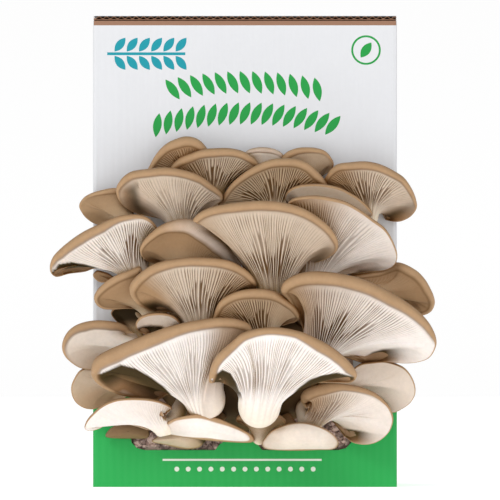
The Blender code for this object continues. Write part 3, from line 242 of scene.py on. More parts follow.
# How each underside looks. pale is how white its flesh is. tan, gills and band (the width of
# the rolled edge in millimetres) run along the rim from its left end (0) to its right end
# (1); tan is brown flesh, and on lobes that turn away it is also painted shade. groove is how
# dark the gaps between gills are painted, as painted shade. A fold is a line over which the
# underside turns away, into a hollow on its right-hand side that is darkened with painted shade:
# (points as (x, z), depth, softness, reach, darkness of the painted shade, strength at its last point).
LOOKS = {
    "mushroom_front_centre": dict(
        pale=1.0, tan_and_shade=[(0, 0.2), (0.1, 0), (1, 0)], gills=[(0, 0), (0.15, 0.7), (0.6, 1), (0.72, 0.5), (0.85, 0)],
        groove_shade=0.45, band=[(0, 1.5), (0.1, 2.6), (0.2, 2.4), (0.39, 1.5), (0.5, 1.6), (0.6, 2.8), (0.75, 2.6),
                           (0.8, 1.2), (0.85, 0.6), (1, 0.5)],
        folds=[([(-11.9, 36.3), (-10.2, 40.1), (-7.9, 41.8), (-4.9, 40.5), (-3, 37.4), (-1.8, 34)],
                3, 0.8, 6, 1.2, 0.8),
               ([(16.1, 32.4), (18.8, 35.5), (22.6, 38.2), (26.4, 39.7), (32.2, 40.8), (37.9, 39.3)],
                3, 0.8, 5, 1.3, 0.9)]),
    "mushroom_front_left": dict(
        pale=1.0, tan_and_shade=[(0, 0.5), (0.25, 0.4), (0.33, 0), (0.8, 0), (0.88, 0.8), (1, 1)],
        gills=[(0, 0), (0.33, 0), (0.42, 0.4), (0.6, 1), (0.85, 1), (0.92, 0.3), (1, 0)], groove_shade=0.5,
        band=[(0, 0.6), (0.18, 1.6), (0.3, 2.6), (0.38, 3.4), (0.47, 4.0), (0.6, 3.6), (0.7, 3.0), (0.8, 2.4), (1, 2)],
        folds=[([(-50.6, 40.2), (-43.6, 43.5), (-38.2, 42.1), (-32.8, 38.9), (-28.5, 35.7), (-26.3, 33.5),
                 (-24.3, 30.8), (-20.9, 28.2)], 2.5, 0.9, 8, 1.3, 1)]),
    "mushroom_front_right": dict(
        pale=0.9, tan_and_shade=[(0, 1), (0.2, 1), (0.27, 0.75), (0.35, 0.45), (0.45, 0.25), (0.55, 0.1), (0.75, 0),
                       (0.9, 0.1), (1, 0.4)],
        gills=[(0, 0), (0.2, 0.1), (0.27, 0.7), (0.32, 1), (0.5, 1), (0.6, 0.6), (0.68, 0.15), (0.75, 0)], groove_shade=0.7,
        band=[(0, 1), (0.1, 1.5), (0.17, 2.4), (0.27, 3.2), (0.54, 3.2), (0.62, 2.6), (0.69, 1.8), (0.74, 0.8), (1, 0.4)],
        folds=[([(38.5, 43), (41, 45.1), (44.6, 47.7), (48.2, 48.9), (53.6, 49.5), (58.8, 49.3)],
                3, 1.4, 5.5, 1.3, 0.1)]),
    "mushroom_centre_small": dict(
        pale=0.2, tan_and_shade=[(0, 0.9), (0.5, 0.8), (0.7, 0.7), (1, 0.9)],
        gills=[(0, 0.6), (0.4, 1), (0.6, 0.8), (0.7, 0.1), (1, 0)], groove_shade=1.0,
        band=[(0, 1), (0.2, 2), (0.5, 2.5), (0.8, 2.2), (1, 1)], folds=[]),
    "mushroom_middle_centre": dict(
        pale=0.5, tan_and_shade=[(0, 0.9), (0.18, 0.8), (0.3, 0.4), (0.6, 0.4), (0.75, 0.5), (0.85, 0.8), (1, 0.8)],
        gills=[(0, 0), (0.2, 0.1), (0.3, 0.9), (0.6, 1), (0.72, 0.4), (0.85, 0)], groove_shade=0.75,
        band=[(0, 0.6), (0.1, 1.2), (0.16, 1.8), (0.34, 2.4), (0.46, 2.5), (0.68, 2), (0.75, 1.8), (0.82, 1), (1, 0.4)],
        folds=[([(17, 72), (21.1, 77.8), (25.7, 83.4), (28.2, 87.6)], 2, 3.5, 8, 0.9, 0.2)]),
    "mushroom_middle_left": dict(
        pale=0.5, tan_and_shade=[(0, 1), (0.3, 1), (0.45, 0.4), (0.6, 0.3), (0.8, 0.7), (1, 1)],
        gills=[(0, 0), (0.3, 0), (0.42, 0.7), (0.55, 1), (1, 1)], groove_shade=0.85,
        band=[(0, 0.8), (0.15, 2.2), (0.25, 3.0), (0.37, 2.4), (0.51, 2.1), (0.78, 2.1), (0.9, 1.8), (1, 1)],
        folds=[([(-36, 65), (-31, 66), (-26, 64), (-22, 59)], 2, 3, 7, 0.9, 1)]),
    "mushroom_middle_right": dict(
        pale=0.85, tan_and_shade=[(0, 1), (0.25, 0.8), (0.4, 0.35), (0.6, 0.1), (0.8, 0.2), (1, 0.6)],
        gills=[(0, 0.5), (0.15, 1), (0.45, 0.9), (0.6, 0.4), (0.75, 0.1), (1, 0)], groove_shade=0.6,
        band=[(0, 0.5), (0.2, 0.8), (0.4, 0.7), (1, 0.4)],
        folds=[([(36, 74), (40, 76.6), (46, 77.6), (51, 78)], 2, 2, 5, 0.8, 0.4)]),
    "mushroom_centre_left": dict(
        pale=0, tan_and_shade=[(0, 1), (1, 1)], gills=[(0, 0), (0.5, 0), (0.8, 0.4), (1, 0.6)], groove_shade=0.6,
        band=[(0, 0.5), (0.1, 0.7), (0.2, 1.2), (0.33, 2), (0.45, 3.3), (0.6, 4.6), (0.75, 5.3), (0.88, 4.6), (1, 1.5)],
        band_pale=[(0, 0), (0.35, 0), (0.6, 0.5), (1, 0.45)], folds=[]),
    "mushroom_left_wing": dict(
        pale=0.8, tan_and_shade=[(0, 0.3), (0.4, 0.1), (0.6, 0), (1, 0.2)],
        gills=[(0, 0), (0.35, 0), (0.5, 0.6), (0.7, 1), (1, 1)], groove_shade=0.9,
        band=[(0, 0.4), (0.2, 0.8), (0.29, 1), (0.385, 2.4), (0.51, 2.8), (0.63, 2.4), (0.74, 1.5), (0.84, 0.9), (1, 0.5)],
        folds=[([(-68.6, 74.5), (-67.6, 75.9), (-65.1, 78.5), (-60.9, 79.2), (-56.3, 78.5), (-52.4, 77.4),
                 (-49, 75.6)], 3, 0.7, 5, 1.8, 1)]),
    "mushroom_upper_left": dict(
        pale=0.5, tan_and_shade=[(0, 0.8), (0.25, 0.5), (0.4, 0.4), (0.6, 0.35), (0.8, 0.45), (1, 0.6)],
        gills=[(0, 0), (0.3, 0.05), (0.42, 0.8), (0.8, 1), (0.9, 0.3), (1, 0.1)], groove_shade=0.6,
        band=[(0, 0.5), (0.1, 0.6), (0.2, 1.2), (0.3, 2), (0.65, 2.1), (0.8, 1.4), (0.88, 0.8), (1, 0.4)],
        folds=[([(-37, 104.5), (-35.9, 100), (-33.4, 95.7), (-31, 92)], 1.5, 3.5, 6, 0.8, 1)]),
    "mushroom_upper_centre": dict(
        pale=0.1, tan_and_shade=[(0, 0.6), (0.5, 0.7), (1, 0.9)], gills=[(0, 0.5), (0.3, 1), (0.8, 1), (0.9, 0)], groove_shade=1.1,
        band=[(0, 1), (0.3, 2), (0.6, 2.1), (0.8, 2.6), (1, 1.5)], folds=[]),
    "mushroom_upper_right": dict(
        pale=0.5, tan_and_shade=[(0, 1), (0.2, 1), (0.3, 0.6), (0.5, 0.35), (0.75, 0.5), (0.9, 1), (1, 1)],
        gills=[(0, 0.2), (0.15, 0.8), (0.3, 1), (0.5, 0.9), (0.65, 0.4), (0.78, 0), (1, 0)], groove_shade=0.7,
        band=[(0, 1), (0.15, 1.6), (0.3, 2.1), (0.5, 1.8), (0.65, 1.5), (0.75, 1), (0.85, 0.5), (1, 0.4)],
        folds=[([(44.7, 95), (49.3, 96.8), (54.6, 99.3), (59.1, 101)], 1.5, 3, 5, 0.9, 0.4)]),
    "mushroom_upper_right_pale": dict(
        pale=0.3, tan_and_shade=[(0, 0.3), (1, 0.4)], gills=[(0, 0), (1, 0)], groove_shade=0, band=[(0, 0.4), (1, 0.6)], folds=[]),
    "mushroom_top_centre_left": dict(
        pale=0.35, tan_and_shade=[(0, 1), (0.3, 0.8), (0.45, 0.4), (1, 0.5)], gills=[(0, 0.3), (0.25, 1), (1, 0.8)], groove_shade=0.9,
        band=[(0, 1.5), (0.2, 2.4), (0.5, 2.1), (0.8, 1.8), (1, 1)], folds=[]),
    "mushroom_top_left": dict(
        pale=0, tan_and_shade=[(0, 1), (1, 1)], gills=[(0, 0.6), (1, 0.6)], groove_shade=1.0,
        band=[(0, 1.2), (0.3, 2.2), (0.5, 2.7), (0.8, 2.6), (1, 2)], folds=[]),
    "mushroom_top_bud": dict(
        pale=0.6, tan_and_shade=[(0, 0.2), (1, 0.3)], gills=[(0, 0), (1, 0)], groove_shade=0, band=[(0, 0.8), (0.5, 1.6), (1, 0.8)],
        band_pale=[(0, 0.4), (1, 0.4)], folds=[]),
    "mushroom_top_right": dict(
        pale=0.3, tan_and_shade=[(0, 0.6), (1, 0.6)], gills=[(0, 0), (1, 0)], groove_shade=0,
        band=[(0, 2.4), (0.3, 1.7), (0.7, 1.0), (1, 0.6)], folds=[]),
    "mushroom_far_left": dict(
        pale=0, tan_and_shade=[(0, 0.9), (1, 0.8)], gills=[(0, 0), (1, 0)], groove_shade=0,
        band=[(0, 0.5), (0.4, 0.8), (0.6, 1.5), (0.85, 1.9), (1, 1.6)], folds=[]),
    "mushroom_right_wing": dict(
        pale=0, tan_and_shade=[(0, 1), (1, 1)], gills=[(0, 0.3), (0.3, 0.3), (0.6, 0)], groove_shade=0.4,
        band=[(0, 1), (0.2, 2.4), (0.4, 3.2), (0.6, 3), (0.8, 1.5), (1, 0.6)], folds=[]),
    "mushroom_low_right": dict(
        pale=0.6, tan_and_shade=[(0, 0.3), (0.7, 0.15), (1, 0.6)], gills=[(0, 0), (1, 0)], groove_shade=0, band=[(0, 0.5), (1, 0.5)],
        folds=[]),
    "mushroom_bottom_right": dict(
        pale=0.8, tan_and_shade=[(0, 1), (0.15, 0.9), (0.3, 0.45), (0.45, 0.1), (0.7, 0.1), (0.85, 0.4), (1, 0.8)],
        gills=[(0, 0.2), (0.15, 0.6), (0.3, 0.7), (0.45, 0.2), (0.6, 0), (1, 0)], groove_shade=0.5,
        band=[(0, 3), (0.1, 3.4), (0.2, 3), (0.3, 1.6), (0.45, 1.2), (0.55, 0.8), (0.7, 0.6), (1, 0.5)],
        folds=[([(30.3, 20.4), (35.6, 20.8), (41.2, 20), (47, 19)], 2, 0.9, 4.5, 1.3, 0.1)]),
    "mushroom_bottom_left": dict(
        pale=0.95, tan_and_shade=[(0, 0.4), (0.2, 0.2), (0.4, 0), (1, 0.3)], gills=[(0, 0), (0.7, 0.1), (0.85, 0.4), (1, 0.4)],
        groove_shade=0.3, band=[(0, 0.4), (1, 0.5)], folds=[]),
    "mushroom_bottom_centre": dict(
        pale=0.5, tan_and_shade=[(0, 1), (0.3, 0.5), (0.5, 0.2), (1, 0.2)], gills=[(0, 0), (1, 0)], groove_shade=0,
        band=[(0, 0.6), (1, 0.4)], folds=[]),
    "mushroom_bottom_centre_right": dict(
        pale=0.6, tan_and_shade=[(0, 0.3), (0.3, 0.1), (0.8, 0), (1, 0.3)], gills=[(0, 0), (1, 0)], groove_shade=0,
        band=[(0, 0.4), (1, 0.4)], bulge=5, folds=[]),
    "mushroom_bottom_centre_left": dict(
        pale=0.9, tan_and_shade=[(0, 0.4), (0.3, 0), (1, 0)], gills=[(0, 0), (1, 0)], groove_shade=0,
        band=[(0, 0.5), (0.12, 1.8), (0.35, 2.3), (0.6, 1.8), (0.85, 0.8), (1, 0.3)], bulge=3, folds=[]),
    "mushroom_bottom_bud": dict(
        pale=0.3, tan_and_shade=[(0, 0.5), (0.6, 0.4), (1, 1)], gills=[(0, 0), (1, 0)], groove_shade=0, band=[(0, 0.4), (1, 0.4)],
        bulge=4, folds=[([(-15, 14), (-18.5, 19), (-17, 22)], 1.0, 2.5, 8, 1.0, 1)]),
    "mushroom_bottom_left_young": dict(
        pale=0, tan_and_shade=[(0, 1), (1, 1)], gills=[(0, 0), (1, 0)], groove_shade=0, band=[(0, 0.5), (1, 0.5)],
        bulge=3, folds=[([(-49, 24), (-40, 25), (-30, 24)], 0.3, 5, 30, 0.45, 1)]),
    "mushroom_low_left": dict(
        pale=0.25, tan_and_shade=[(0, 0.9), (0.3, 0.8), (0.6, 0.3), (1, 0.3)], gills=[(0, 0), (1, 0)], groove_shade=0,
        band=[(0, 0.5), (1, 0.7)], folds=[]),
    "mushroom_left_pale": dict(
        pale=0.6, tan_and_shade=[(0, 0.9), (0.2, 0.5), (0.5, 0.1), (0.8, 0.05), (1, 0.2)], gills=[(0, 0), (1, 0)], groove_shade=0,
        band=[(0, 0.5), (0.25, 0.8), (0.45, 1.5), (0.65, 2.8), (0.85, 2.8), (1, 2)], folds=[]),
    "mushroom_left_young": dict(
        pale=0.6, tan_and_shade=[(0, 0.4), (1, 0.2)], gills=[(0, 0), (1, 0)], groove_shade=0, band=[(0, 0.6), (1, 0.6)],
        folds=[([(-39, 55.4), (-36, 56.6), (-33.4, 57), (-29.2, 56.7), (-27, 55.2)], 2, 0.9, 5, 1.2, 1)]),
    "mushroom_left_shaded": dict(
        pale=0, tan_and_shade=[(0, 1), (1, 1)], gills=[(0, 0), (1, 0)], groove_shade=0, band=[(0, 0.5), (1, 0.5)],
        folds=[([(-47, 67), (-40, 67.5), (-36, 66), (-35.5, 60)], 0.3, 4, 40, 1.0, 1)]),
    "mushroom_left_brown": dict(
        pale=0, tan_and_shade=[(0, 1), (1, 1)], gills=[(0, 0), (1, 0)], groove_shade=0,
        band=[(0, 0.6), (0.4, 1.5), (0.7, 2.4), (1, 2)],
        folds=[([(-55, 68), (-50, 67), (-42, 65), (-36, 64)], 0.3, 5, 20, 0.35, 1)]),
    "mushroom_left_tip_young": dict(
        pale=0, tan_and_shade=[(0, 1), (1, 1)], gills=[(0, 0), (1, 0)], groove_shade=0, band=[(0, 0.5), (1, 0.5)], folds=[]),
}


def linear(red, green, blue):
    """A colour given as 0 to 255 display values, as linear light."""
    value = np.array([red, green, blue]) / 255
    return np.where(value <= 0.04045, value / 12.92, ((value + 0.055) / 1.055) ** 2.4)


WHITE_FLESH = linear(246, 238, 233)
CREAM_FLESH = linear(212, 190, 158)
# Brown flesh; where the tan share runs onto lobes that turn away it is also painted shade
TAN_FLESH = linear(168, 134, 98)
STEM_FLESH = linear(238, 222, 194)
# Painted shade in the gaps between gills
GILL_GAP_SHADE = linear(96, 66, 30)
# Painted shade in the hollows beyond folds and on the base, deep olive and a lighter brown
OLIVE_SHADE = linear(62, 46, 8)
POCKET_SHADE_BROWN = linear(150, 114, 78)
BAND = linear(180, 146, 110)
# Painted shade along the edges of the rolled band and along the lip
BAND_EDGE_SHADE = linear(128, 96, 62)
CAP_TOP = linear(150, 120, 92)

RIGHT = np.array([1.0, 0.0, 0.0])
AHEAD = np.array([0.0, 1.0, 0.0])


def unit(vector):
    return vector / np.maximum(np.linalg.norm(vector, axis=-1, keepdims=True), 1e-9)


def smoothstep(value, low, high):
    share = np.clip((value - low) / (high - low), 0, 1)
    return share * share * (3 - 2 * share)


def mix(first, second, share):
    return first + (second - first) * np.asarray(share)[..., None]


def bezier(points, share):
    """The point at a share of a Bezier curve of any degree."""
    points = list(points)
    while len(points) > 1:
        points = [a + (b - a) * share for a, b in zip(points, points[1:])]
    return points[0]


def closed_curve(knots):
    """A dense smooth closed curve through the knots (centripetal Catmull-Rom)."""
    count = len(knots)
    dense = []
    for index in range(count):
        a, b, c, d = (knots[(index + offset) % count] for offset in (-1, 0, 1, 2))
        tb = np.linalg.norm(b - a) ** 0.5
        tc = tb + np.linalg.norm(c - b) ** 0.5
        td = tc + np.linalg.norm(d - c) ** 0.5
        for t in np.linspace(tb, tc, CURVE_STEPS, endpoint=False):
            ab = a + (b - a) * t / tb
            bc = b + (c - b) * (t - tb) / (tc - tb)
            cd = c + (d - c) * (t - tc) / (td - tc)
            abc = ab + (bc - ab) * t / tc
            bcd = bc + (cd - bc) * (t - tb) / (td - tb)
            dense.append(abc + (bcd - abc) * (t - tb) / (tc - tb))
    return np.array(dense)


def waviness(points, size, seed):
    """A smooth value from -1 to 1 at each point, with lumps of about that size."""
    value = np.zeros(points.shape[:-1])
    for octave, weight in ((1.0, 0.6), (2.1, 0.3), (4.3, 0.15)):
        for axis in range(3):
            other = points[..., (axis + 1) % 3]
            phase = seed * 1.7 + axis * 2.1 + octave
            value += weight * np.sin(points[..., axis] * octave / size + phase
                                     + 1.3 * np.sin(other * octave / size * 0.9 + phase * 1.9)) / 1.8
    return value


def on_mound(points, lift):
    """Push points out along the mound's radius, to its surface and a lift beyond it."""
    away = (points - MOUND_CENTRE) / MOUND_RADII
    scale = 1 + lift / MOUND_RADII.mean()
    return MOUND_CENTRE + unit(away) * MOUND_RADII * scale


def root_point(x, z):
    """The mound's surface at a place in the front view."""
    flat = ((x - MOUND_CENTRE[0]) / MOUND_RADII[0]) ** 2 + ((z - MOUND_CENTRE[2]) / MOUND_RADII[2]) ** 2
    ahead = MOUND_RADII[1] * math.sqrt(max(0.02, 1 - flat))
    return np.array([x, ahead, z])


def growing_direction(spec):
    """The direction up a cap's plane, to the side that most of the cap lies on."""
    sideways = np.mean([x for x, z, extra in spec["rim"]]) - spec["neck"][0]
    rise = max(z for x, z, extra in spec["rim"]) - spec["neck"][2]
    plane = unit(np.array([0.0, spec["lean"], 1.0]))
    return unit(plane + RIGHT * np.clip(0.5 * sideways / max(rise, 1), -1, 1))


def cap_edge(spec, spacing):
    """The edge of a cap from its left end to its right end, the turn around the stem at
    which the gill to each of its points starts, the share of the edge before it, and its
    length."""
    neck = np.array(spec["neck"], float)
    knots = [np.array([x, neck[1] + spec["lean"] * (z - neck[2]) + extra, z]) for x, z, extra in spec["rim"]]
    curve = closed_curve(knots + [neck])[:(len(knots) - 1) * CURVE_STEPS + 1]
    length = np.concatenate([[0], np.cumsum(np.linalg.norm(np.diff(curve, axis=0), axis=1))])
    gills = max(12, round(length[-1] / spacing))
    crown = length[np.argmax(curve[:, 2])]
    along = np.linspace(0, length[-1], gills * COLUMNS_PER_GILL + 1)
    uneven = 0.6 * np.sin(along / 2.3 + len(knots)) + 0.5 * np.sin(along / 1.1 + 2)
    along = along + spacing * 0.5 * uneven * np.sin(along / length[-1] * math.pi)
    edge = np.stack([np.interp(along, length, curve[:, axis]) for axis in range(3)], axis=1)
    turn = np.interp(along, [0, crown, length[-1]], [-SIDE_TURN, 0, SIDE_TURN])
    back = np.linspace(SIDE_TURN, 360 - SIDE_TURN, BACK_COLUMNS + 2)[1:-1]
    return edge, np.radians(np.concatenate([turn, back])), along / length[-1], length[-1]


def stem_rings(spec, turn, direction, rows):
    """The rings of a stem from its foot on the mound to the neck, the middle of the foot,
    and the directions out of the neck's ring."""
    neck = np.array(spec["neck"], float)
    root = root_point(*spec["root"])
    away = unit((root - MOUND_CENTRE) / MOUND_RADII ** 2)
    axis = unit(direction + unit(neck - root))
    pull = np.linalg.norm(neck - root) * STEM_PULL
    path = [root, root + away * pull, neck - axis * pull, neck]
    rings = []
    side = RIGHT
    for share in np.linspace(1, 0, rows + 1):
        # Each ring's directions follow from the ring before, so that the stem doesn't twist
        ahead = unit(bezier(path, share + 0.01) - bezier(path, share - 0.01))
        side = unit(side - (side @ ahead) * ahead)
        out = np.sin(turn)[:, None] * side + np.cos(turn)[:, None] * np.cross(ahead, side)
        radius = spec["root_radius"] + (spec["neck_radius"] - spec["root_radius"]) * share ** 1.3
        rings.insert(0, bezier(path, share) + radius * out)
        if share == 1:
            neck_out = out
    rings[0] = on_mound(rings[0], FOOT_LIFT)
    return rings, on_mound(root[None, :], FOOT_LIFT)[0], neck_out


def beside_line(points, line):
    """How far each point lies to the right-hand side of a line in the front view, how far
    beyond the line's ends, and at which share of the line."""
    flat = points[..., [0, 2]]
    nearest = np.full(flat.shape[:-1], 1e9)
    side = np.zeros(flat.shape[:-1])
    beyond = np.zeros(flat.shape[:-1])
    share = np.zeros(flat.shape[:-1])
    corners = [np.array(corner, float) for corner in line]
    lengths = [np.linalg.norm(b - a) for a, b in zip(corners, corners[1:])]
    for index, (a, b) in enumerate(zip(corners, corners[1:])):
        along = unit(b - a)
        length = lengths[index]
        travel = (flat - a) @ along
        held = np.clip(travel, 0, length)
        away = flat - (a + held[..., None] * along)
        distance = np.linalg.norm(away, axis=-1)
        closer = distance < nearest
        across = (flat - a) @ np.array([along[1], -along[0]])
        over = np.maximum(np.where(index == 0, -travel, 0),
                          np.where(index == len(corners) - 2, travel - length, 0))
        nearest = np.where(closer, distance, nearest)
        side = np.where(closer, np.sign(across) * np.maximum(distance, np.abs(across)), side)
        beyond = np.where(closer, np.maximum(over, 0), beyond)
        share = np.where(closer, (sum(lengths[:index]) + held) / sum(lengths), share)
    return side, beyond, share


def gill_heights(columns, shares, seed):
    """How high the gills stand, from 0 in a gap to 1 on a crest, for each row's share of
    the way to the rim and each column. Between full gills, shorter ones start further out."""
    place = np.arange(columns) / COLUMNS_PER_GILL
    heights = np.zeros((len(shares), columns))
    for step in (0, 1):
        gill = np.floor(place) + step
        jitter = 0.5 + 0.5 * np.sin(gill * 12.9898 + seed * 78.233)
        start = np.select([gill % 8 == 0, gill % 8 == 4, gill % 4 == 2],
                          [-1.0, 0.05 + 0.1 * jitter, 0.2 + 0.2 * jitter], 0.45 + 0.25 * jitter)
        crest = np.interp(np.abs(place - gill), [0, 0.25, 0.5, 1], [1, 0.85, 0.1, 0])
        present = smoothstep(shares[:, None], start, start + 0.09)
        heights = np.maximum(heights, present * crest)

    # Where nothing lies between two full gills yet, they are broader
    away = np.abs(place - np.round(place / 8) * 8)
    broad = np.interp(away, [0, 2, 4], [1, 0.8, 0.35])
    return np.maximum(heights, (1 - smoothstep(shares, 0.1, 0.45))[:, None] * broad)


def along_rim(knots, share, behind):
    """Values at shares of the rim, between knots, and one value for all columns behind."""
    places, values = np.array(knots, float).T
    return np.concatenate([np.interp(share, places, values), np.full(BACK_COLUMNS, behind)])


def carve_folds(grid, shares, ahead, folds):
    """Push the underside back beyond each fold. Gives the painted shade of each point's hollow,
    and how far it lies from the fold, from 0 to 1."""
    hollow_shade = np.zeros(grid.shape[:2])
    deep = np.ones(grid.shape[:2])
    for line, depth, softness, extent, shade_strength, end in folds:
        side, beyond, along = beside_line(grid, line)
        held = (1 - smoothstep(beyond, 0, 4)) * smoothstep(shares, 0.02, 0.25)[:, None] * ahead[:, 0]
        held *= 1 + (end - 1) * smoothstep(along, 0.35, 1)
        hollow = smoothstep(side, -0.3 * softness, softness) * (1 - smoothstep(side, 0.4 * extent, extent))
        grid[..., 1] -= depth * hollow * held
        shade = smoothstep(side, -0.2 * softness, 0.7 * softness) * (1 - smoothstep(side, 0.8 * extent, 1.5 * extent))
        shade = np.clip(shade * held * shade_strength, 0, 1)
        deep = np.where(shade > hollow_shade, smoothstep(side, 0.3 * extent, extent), deep)
        hollow_shade = np.maximum(hollow_shade, shade)
    return hollow_shade, deep


def mushroom_rings(spec, look, seed):
    """The rings of a mushroom from its foot to the middle of its cap's top, with the colour
    of each point, and the points and colours of both ends."""
    neck = np.array(spec["neck"], float)
    radius = spec["neck_radius"]
    under = unit(np.array([0.0, 1.0, -spec["lean"]]))
    direction = growing_direction(spec)
    is_gilled = max(value for place, value in look["gills"]) > 0.25
    edge, turn, share, rim_length = cap_edge(spec, GILL_SPACING if is_gilled else SMOOTH_SPACING)
    columns = len(turn)
    if rim_length > LARGE_RIM and is_gilled:
        stem_rows, gill_rows, band_rows, top_rows = 8, 44, 6, 5
    elif is_gilled:
        stem_rows, gill_rows, band_rows, top_rows = 6, 30, 5, 4
    else:
        stem_rows, gill_rows, band_rows, top_rows = 6, 24, 5, 4
    rings, foot, neck_out = stem_rings(spec, turn, direction, stem_rows)
    start = rings[-1]
    middle = neck + direction * (radius + 1) - under * radius * 0.45

    # The edge, where it closes behind the stem, lies close to the stem's back
    back = start[len(edge):] + neck_out[len(edge):] * 0.6 + direction * (radius * 0.4 + 1.2)
    rim = np.vstack([edge, back])
    ahead = (np.arange(columns) < len(edge))[:, None]
    before = unit(rim - np.roll(rim, 1, axis=0))
    after = unit(np.roll(rim, -1, axis=0) - rim)
    outward = unit(np.cross(before + after, under))
    band = along_rim(look["band"], share, 0.5)[:, None]
    band = band * (1 + 0.06 * waviness(rim / 4, 1, seed)[:, None])
    lip = np.where(ahead, rim + under * (0.45 * band + 0.2) - outward * band, rim)
    shoulder = np.where(ahead, rim - outward * 0.3 * band - under * (0.8 * band + SKIN),
                        rim + (middle - rim) * 0.3 + direction * 0.3)

    # Underside, along the gills from the neck to the lip
    reach = np.linalg.norm(lip - start, axis=1, keepdims=True)
    settle = np.where(ahead, outward * reach * GILL_APPROACH + under * spec["curl"], direction * reach * GILL_APPROACH)
    gill = [start, start + direction * reach * GILL_RISE, lip - settle, lip]
    for row in range(1, gill_rows + 1):
        rings.append(bezier(gill, row / gill_rows))
    grid = np.array(rings)
    shares = np.concatenate([np.linspace(-1, 0, stem_rows + 1), np.linspace(0, 1, gill_rows + 1)[1:]])

    # Gentle waves along the gills, then the folds, then the gills themselves
    on_cap = smoothstep(shares, 0.05, 0.5)[:, None] * ahead[:, 0]
    before_lip = 1 - smoothstep(shares, 0.9, 1.0)[:, None]
    grid[..., 0] += 0.35 * waviness(grid / 6, 1, seed) * on_cap * before_lip
    grid[..., 1] += 0.4 * waviness(grid / 9, 1, seed + 5) * on_cap * before_lip
    tan_and_shade = along_rim(look["tan_and_shade"], share, 0.5)
    gilled = along_rim(look["gills"], share, 0)
    hollow_shade, deep = carve_folds(grid, shares, ahead, look["folds"])
    across = np.roll(grid, -1, axis=1) - np.roll(grid, 1, axis=1)
    up = np.gradient(grid, axis=0)
    normal = unit(np.cross(up, across))
    crest = gill_heights(columns, shares, seed)
    fade = smoothstep(shares, -0.3, 0.35) * (1 - smoothstep(shares, 0.88, 1.0))
    uneven = 0.8 + 0.35 * waviness(grid / 5, 1, seed + 11)
    strength = fade[:, None] * gilled * (1 - 0.8 * hollow_shade) * uneven
    size = GILL_DEPTH * (0.6 + 0.4 * smoothstep(shares, 0, 0.5))[:, None]
    grid += normal * (strength * size * (crest - 0.6))[..., None]

    # Colours of the stem and the underside
    base = mix(CREAM_FLESH, WHITE_FLESH, np.full(grid.shape[:2], look["pale"]))
    towards_rim = (0.35 + 0.65 * smoothstep(shares, 0, 0.75))[:, None]
    # Brown flesh towards the rim, which on lobes that turn away is also painted shade
    colour = mix(base, TAN_FLESH, np.clip(tan_and_shade * towards_rim, 0, 1))
    near_stem = 1 - smoothstep(shares, -0.05, 0.35)
    colour = mix(colour, STEM_FLESH, near_stem[:, None] * (1 - 0.5 * tan_and_shade) * (1 - 0.5 * look["pale"]))
    colour = mix(colour, TAN_FLESH, (1 - smoothstep(shares, -1, -0.2))[:, None] * 0.55 * np.ones(columns))
    jitter = 0.75 + 0.5 * np.sin(np.round(np.arange(columns) / COLUMNS_PER_GILL + 0.5) * 7.31 + seed) ** 2
    # Painted highlight on the crests of the gills
    crest_highlight = smoothstep(crest, 0.8, 1.0) * strength * 0.35
    colour = mix(colour, STEM_FLESH, np.clip(crest_highlight * (1 - 0.7 * look["pale"]), 0, 1))
    # Painted shade in the gaps between the gills
    colour = mix(colour, GILL_GAP_SHADE, np.clip((1 - crest) ** 1.2 * strength * look["groove_shade"] * 1.35 * jitter, 0, 1))
    mottle = waviness(grid / 3, 1, seed + 2) * 0.5 + waviness(grid / 11, 1, seed + 3) * 0.5
    colour = colour * (1 + 0.05 * mottle)[..., None]
    # Painted shade in the hollows beyond the folds, deep olive near a fold and browner further off
    colour = mix(colour, mix(OLIVE_SHADE, POCKET_SHADE_BROWN, deep), hollow_shade)
    # Painted shade in a dark line along the lip, under the rolled edge
    lip_shade = smoothstep(shares, 0.97, 1.0)[:, None] * ahead[:, 0] * smoothstep(band[:, 0], 0.6, 1.5)
    colour = mix(colour, BAND_EDGE_SHADE, 0.8 * lip_shade)

    rings = list(grid)
    colours = list(colour)
    lip = grid[-1]

    # Rolled edge, from the lip around the rim to the shoulder
    roll = [lip, lip + outward * 0.6 * band + under * 0.35 * band, rim + outward * 0.25 * band, shoulder]
    band_pale = along_rim(look.get("band_pale", [(0, 0), (1, 0)]), share, 0)
    for row in range(1, band_rows + 1):
        part = row / band_rows
        ring = np.where(ahead, bezier(roll, part), lip + (shoulder - lip) * part)
        # Painted shade: the band darkens towards both of its edges, where it rolls away
        edge_shade = 0.6 * smoothstep(part, 0.45, 1.0) + 0.25 * (1 - smoothstep(part, 0, 0.35))
        streak = waviness(ring / 1.2, 1, seed + 7)
        middle_colour = mix(BAND, WHITE_FLESH, band_pale * (1 - 0.6 * part))
        rings.append(ring)
        colours.append(mix(middle_colour, BAND_EDGE_SHADE, np.clip(edge_shade + 0.08 * streak, 0, 1)))

    # The cap's top, which follows the gills back to the middle
    thick_at_lip = np.sum((lip - shoulder) * under, axis=1, keepdims=True)
    thick_at_neck = np.sum((start - middle) * under, axis=1, keepdims=True) + 1
    for row in range(1, top_rows + 1):
        part = row / (top_rows + 1)
        thick = thick_at_lip + (thick_at_neck - thick_at_lip) * part
        over_gills = bezier(gill, 1 - part) - under * thick
        ring = np.where(ahead, over_gills, shoulder + (middle - shoulder) * part)
        rings.append(ring)
        colours.append(CAP_TOP * (1 + 0.12 * waviness(ring / 3, 1, seed + 9))[:, None])
    for ring in rings:
        ring[:, 1] = np.maximum(ring[:, 1], CLEAR_OF_CARTON)
    return rings, colours, (foot, middle)


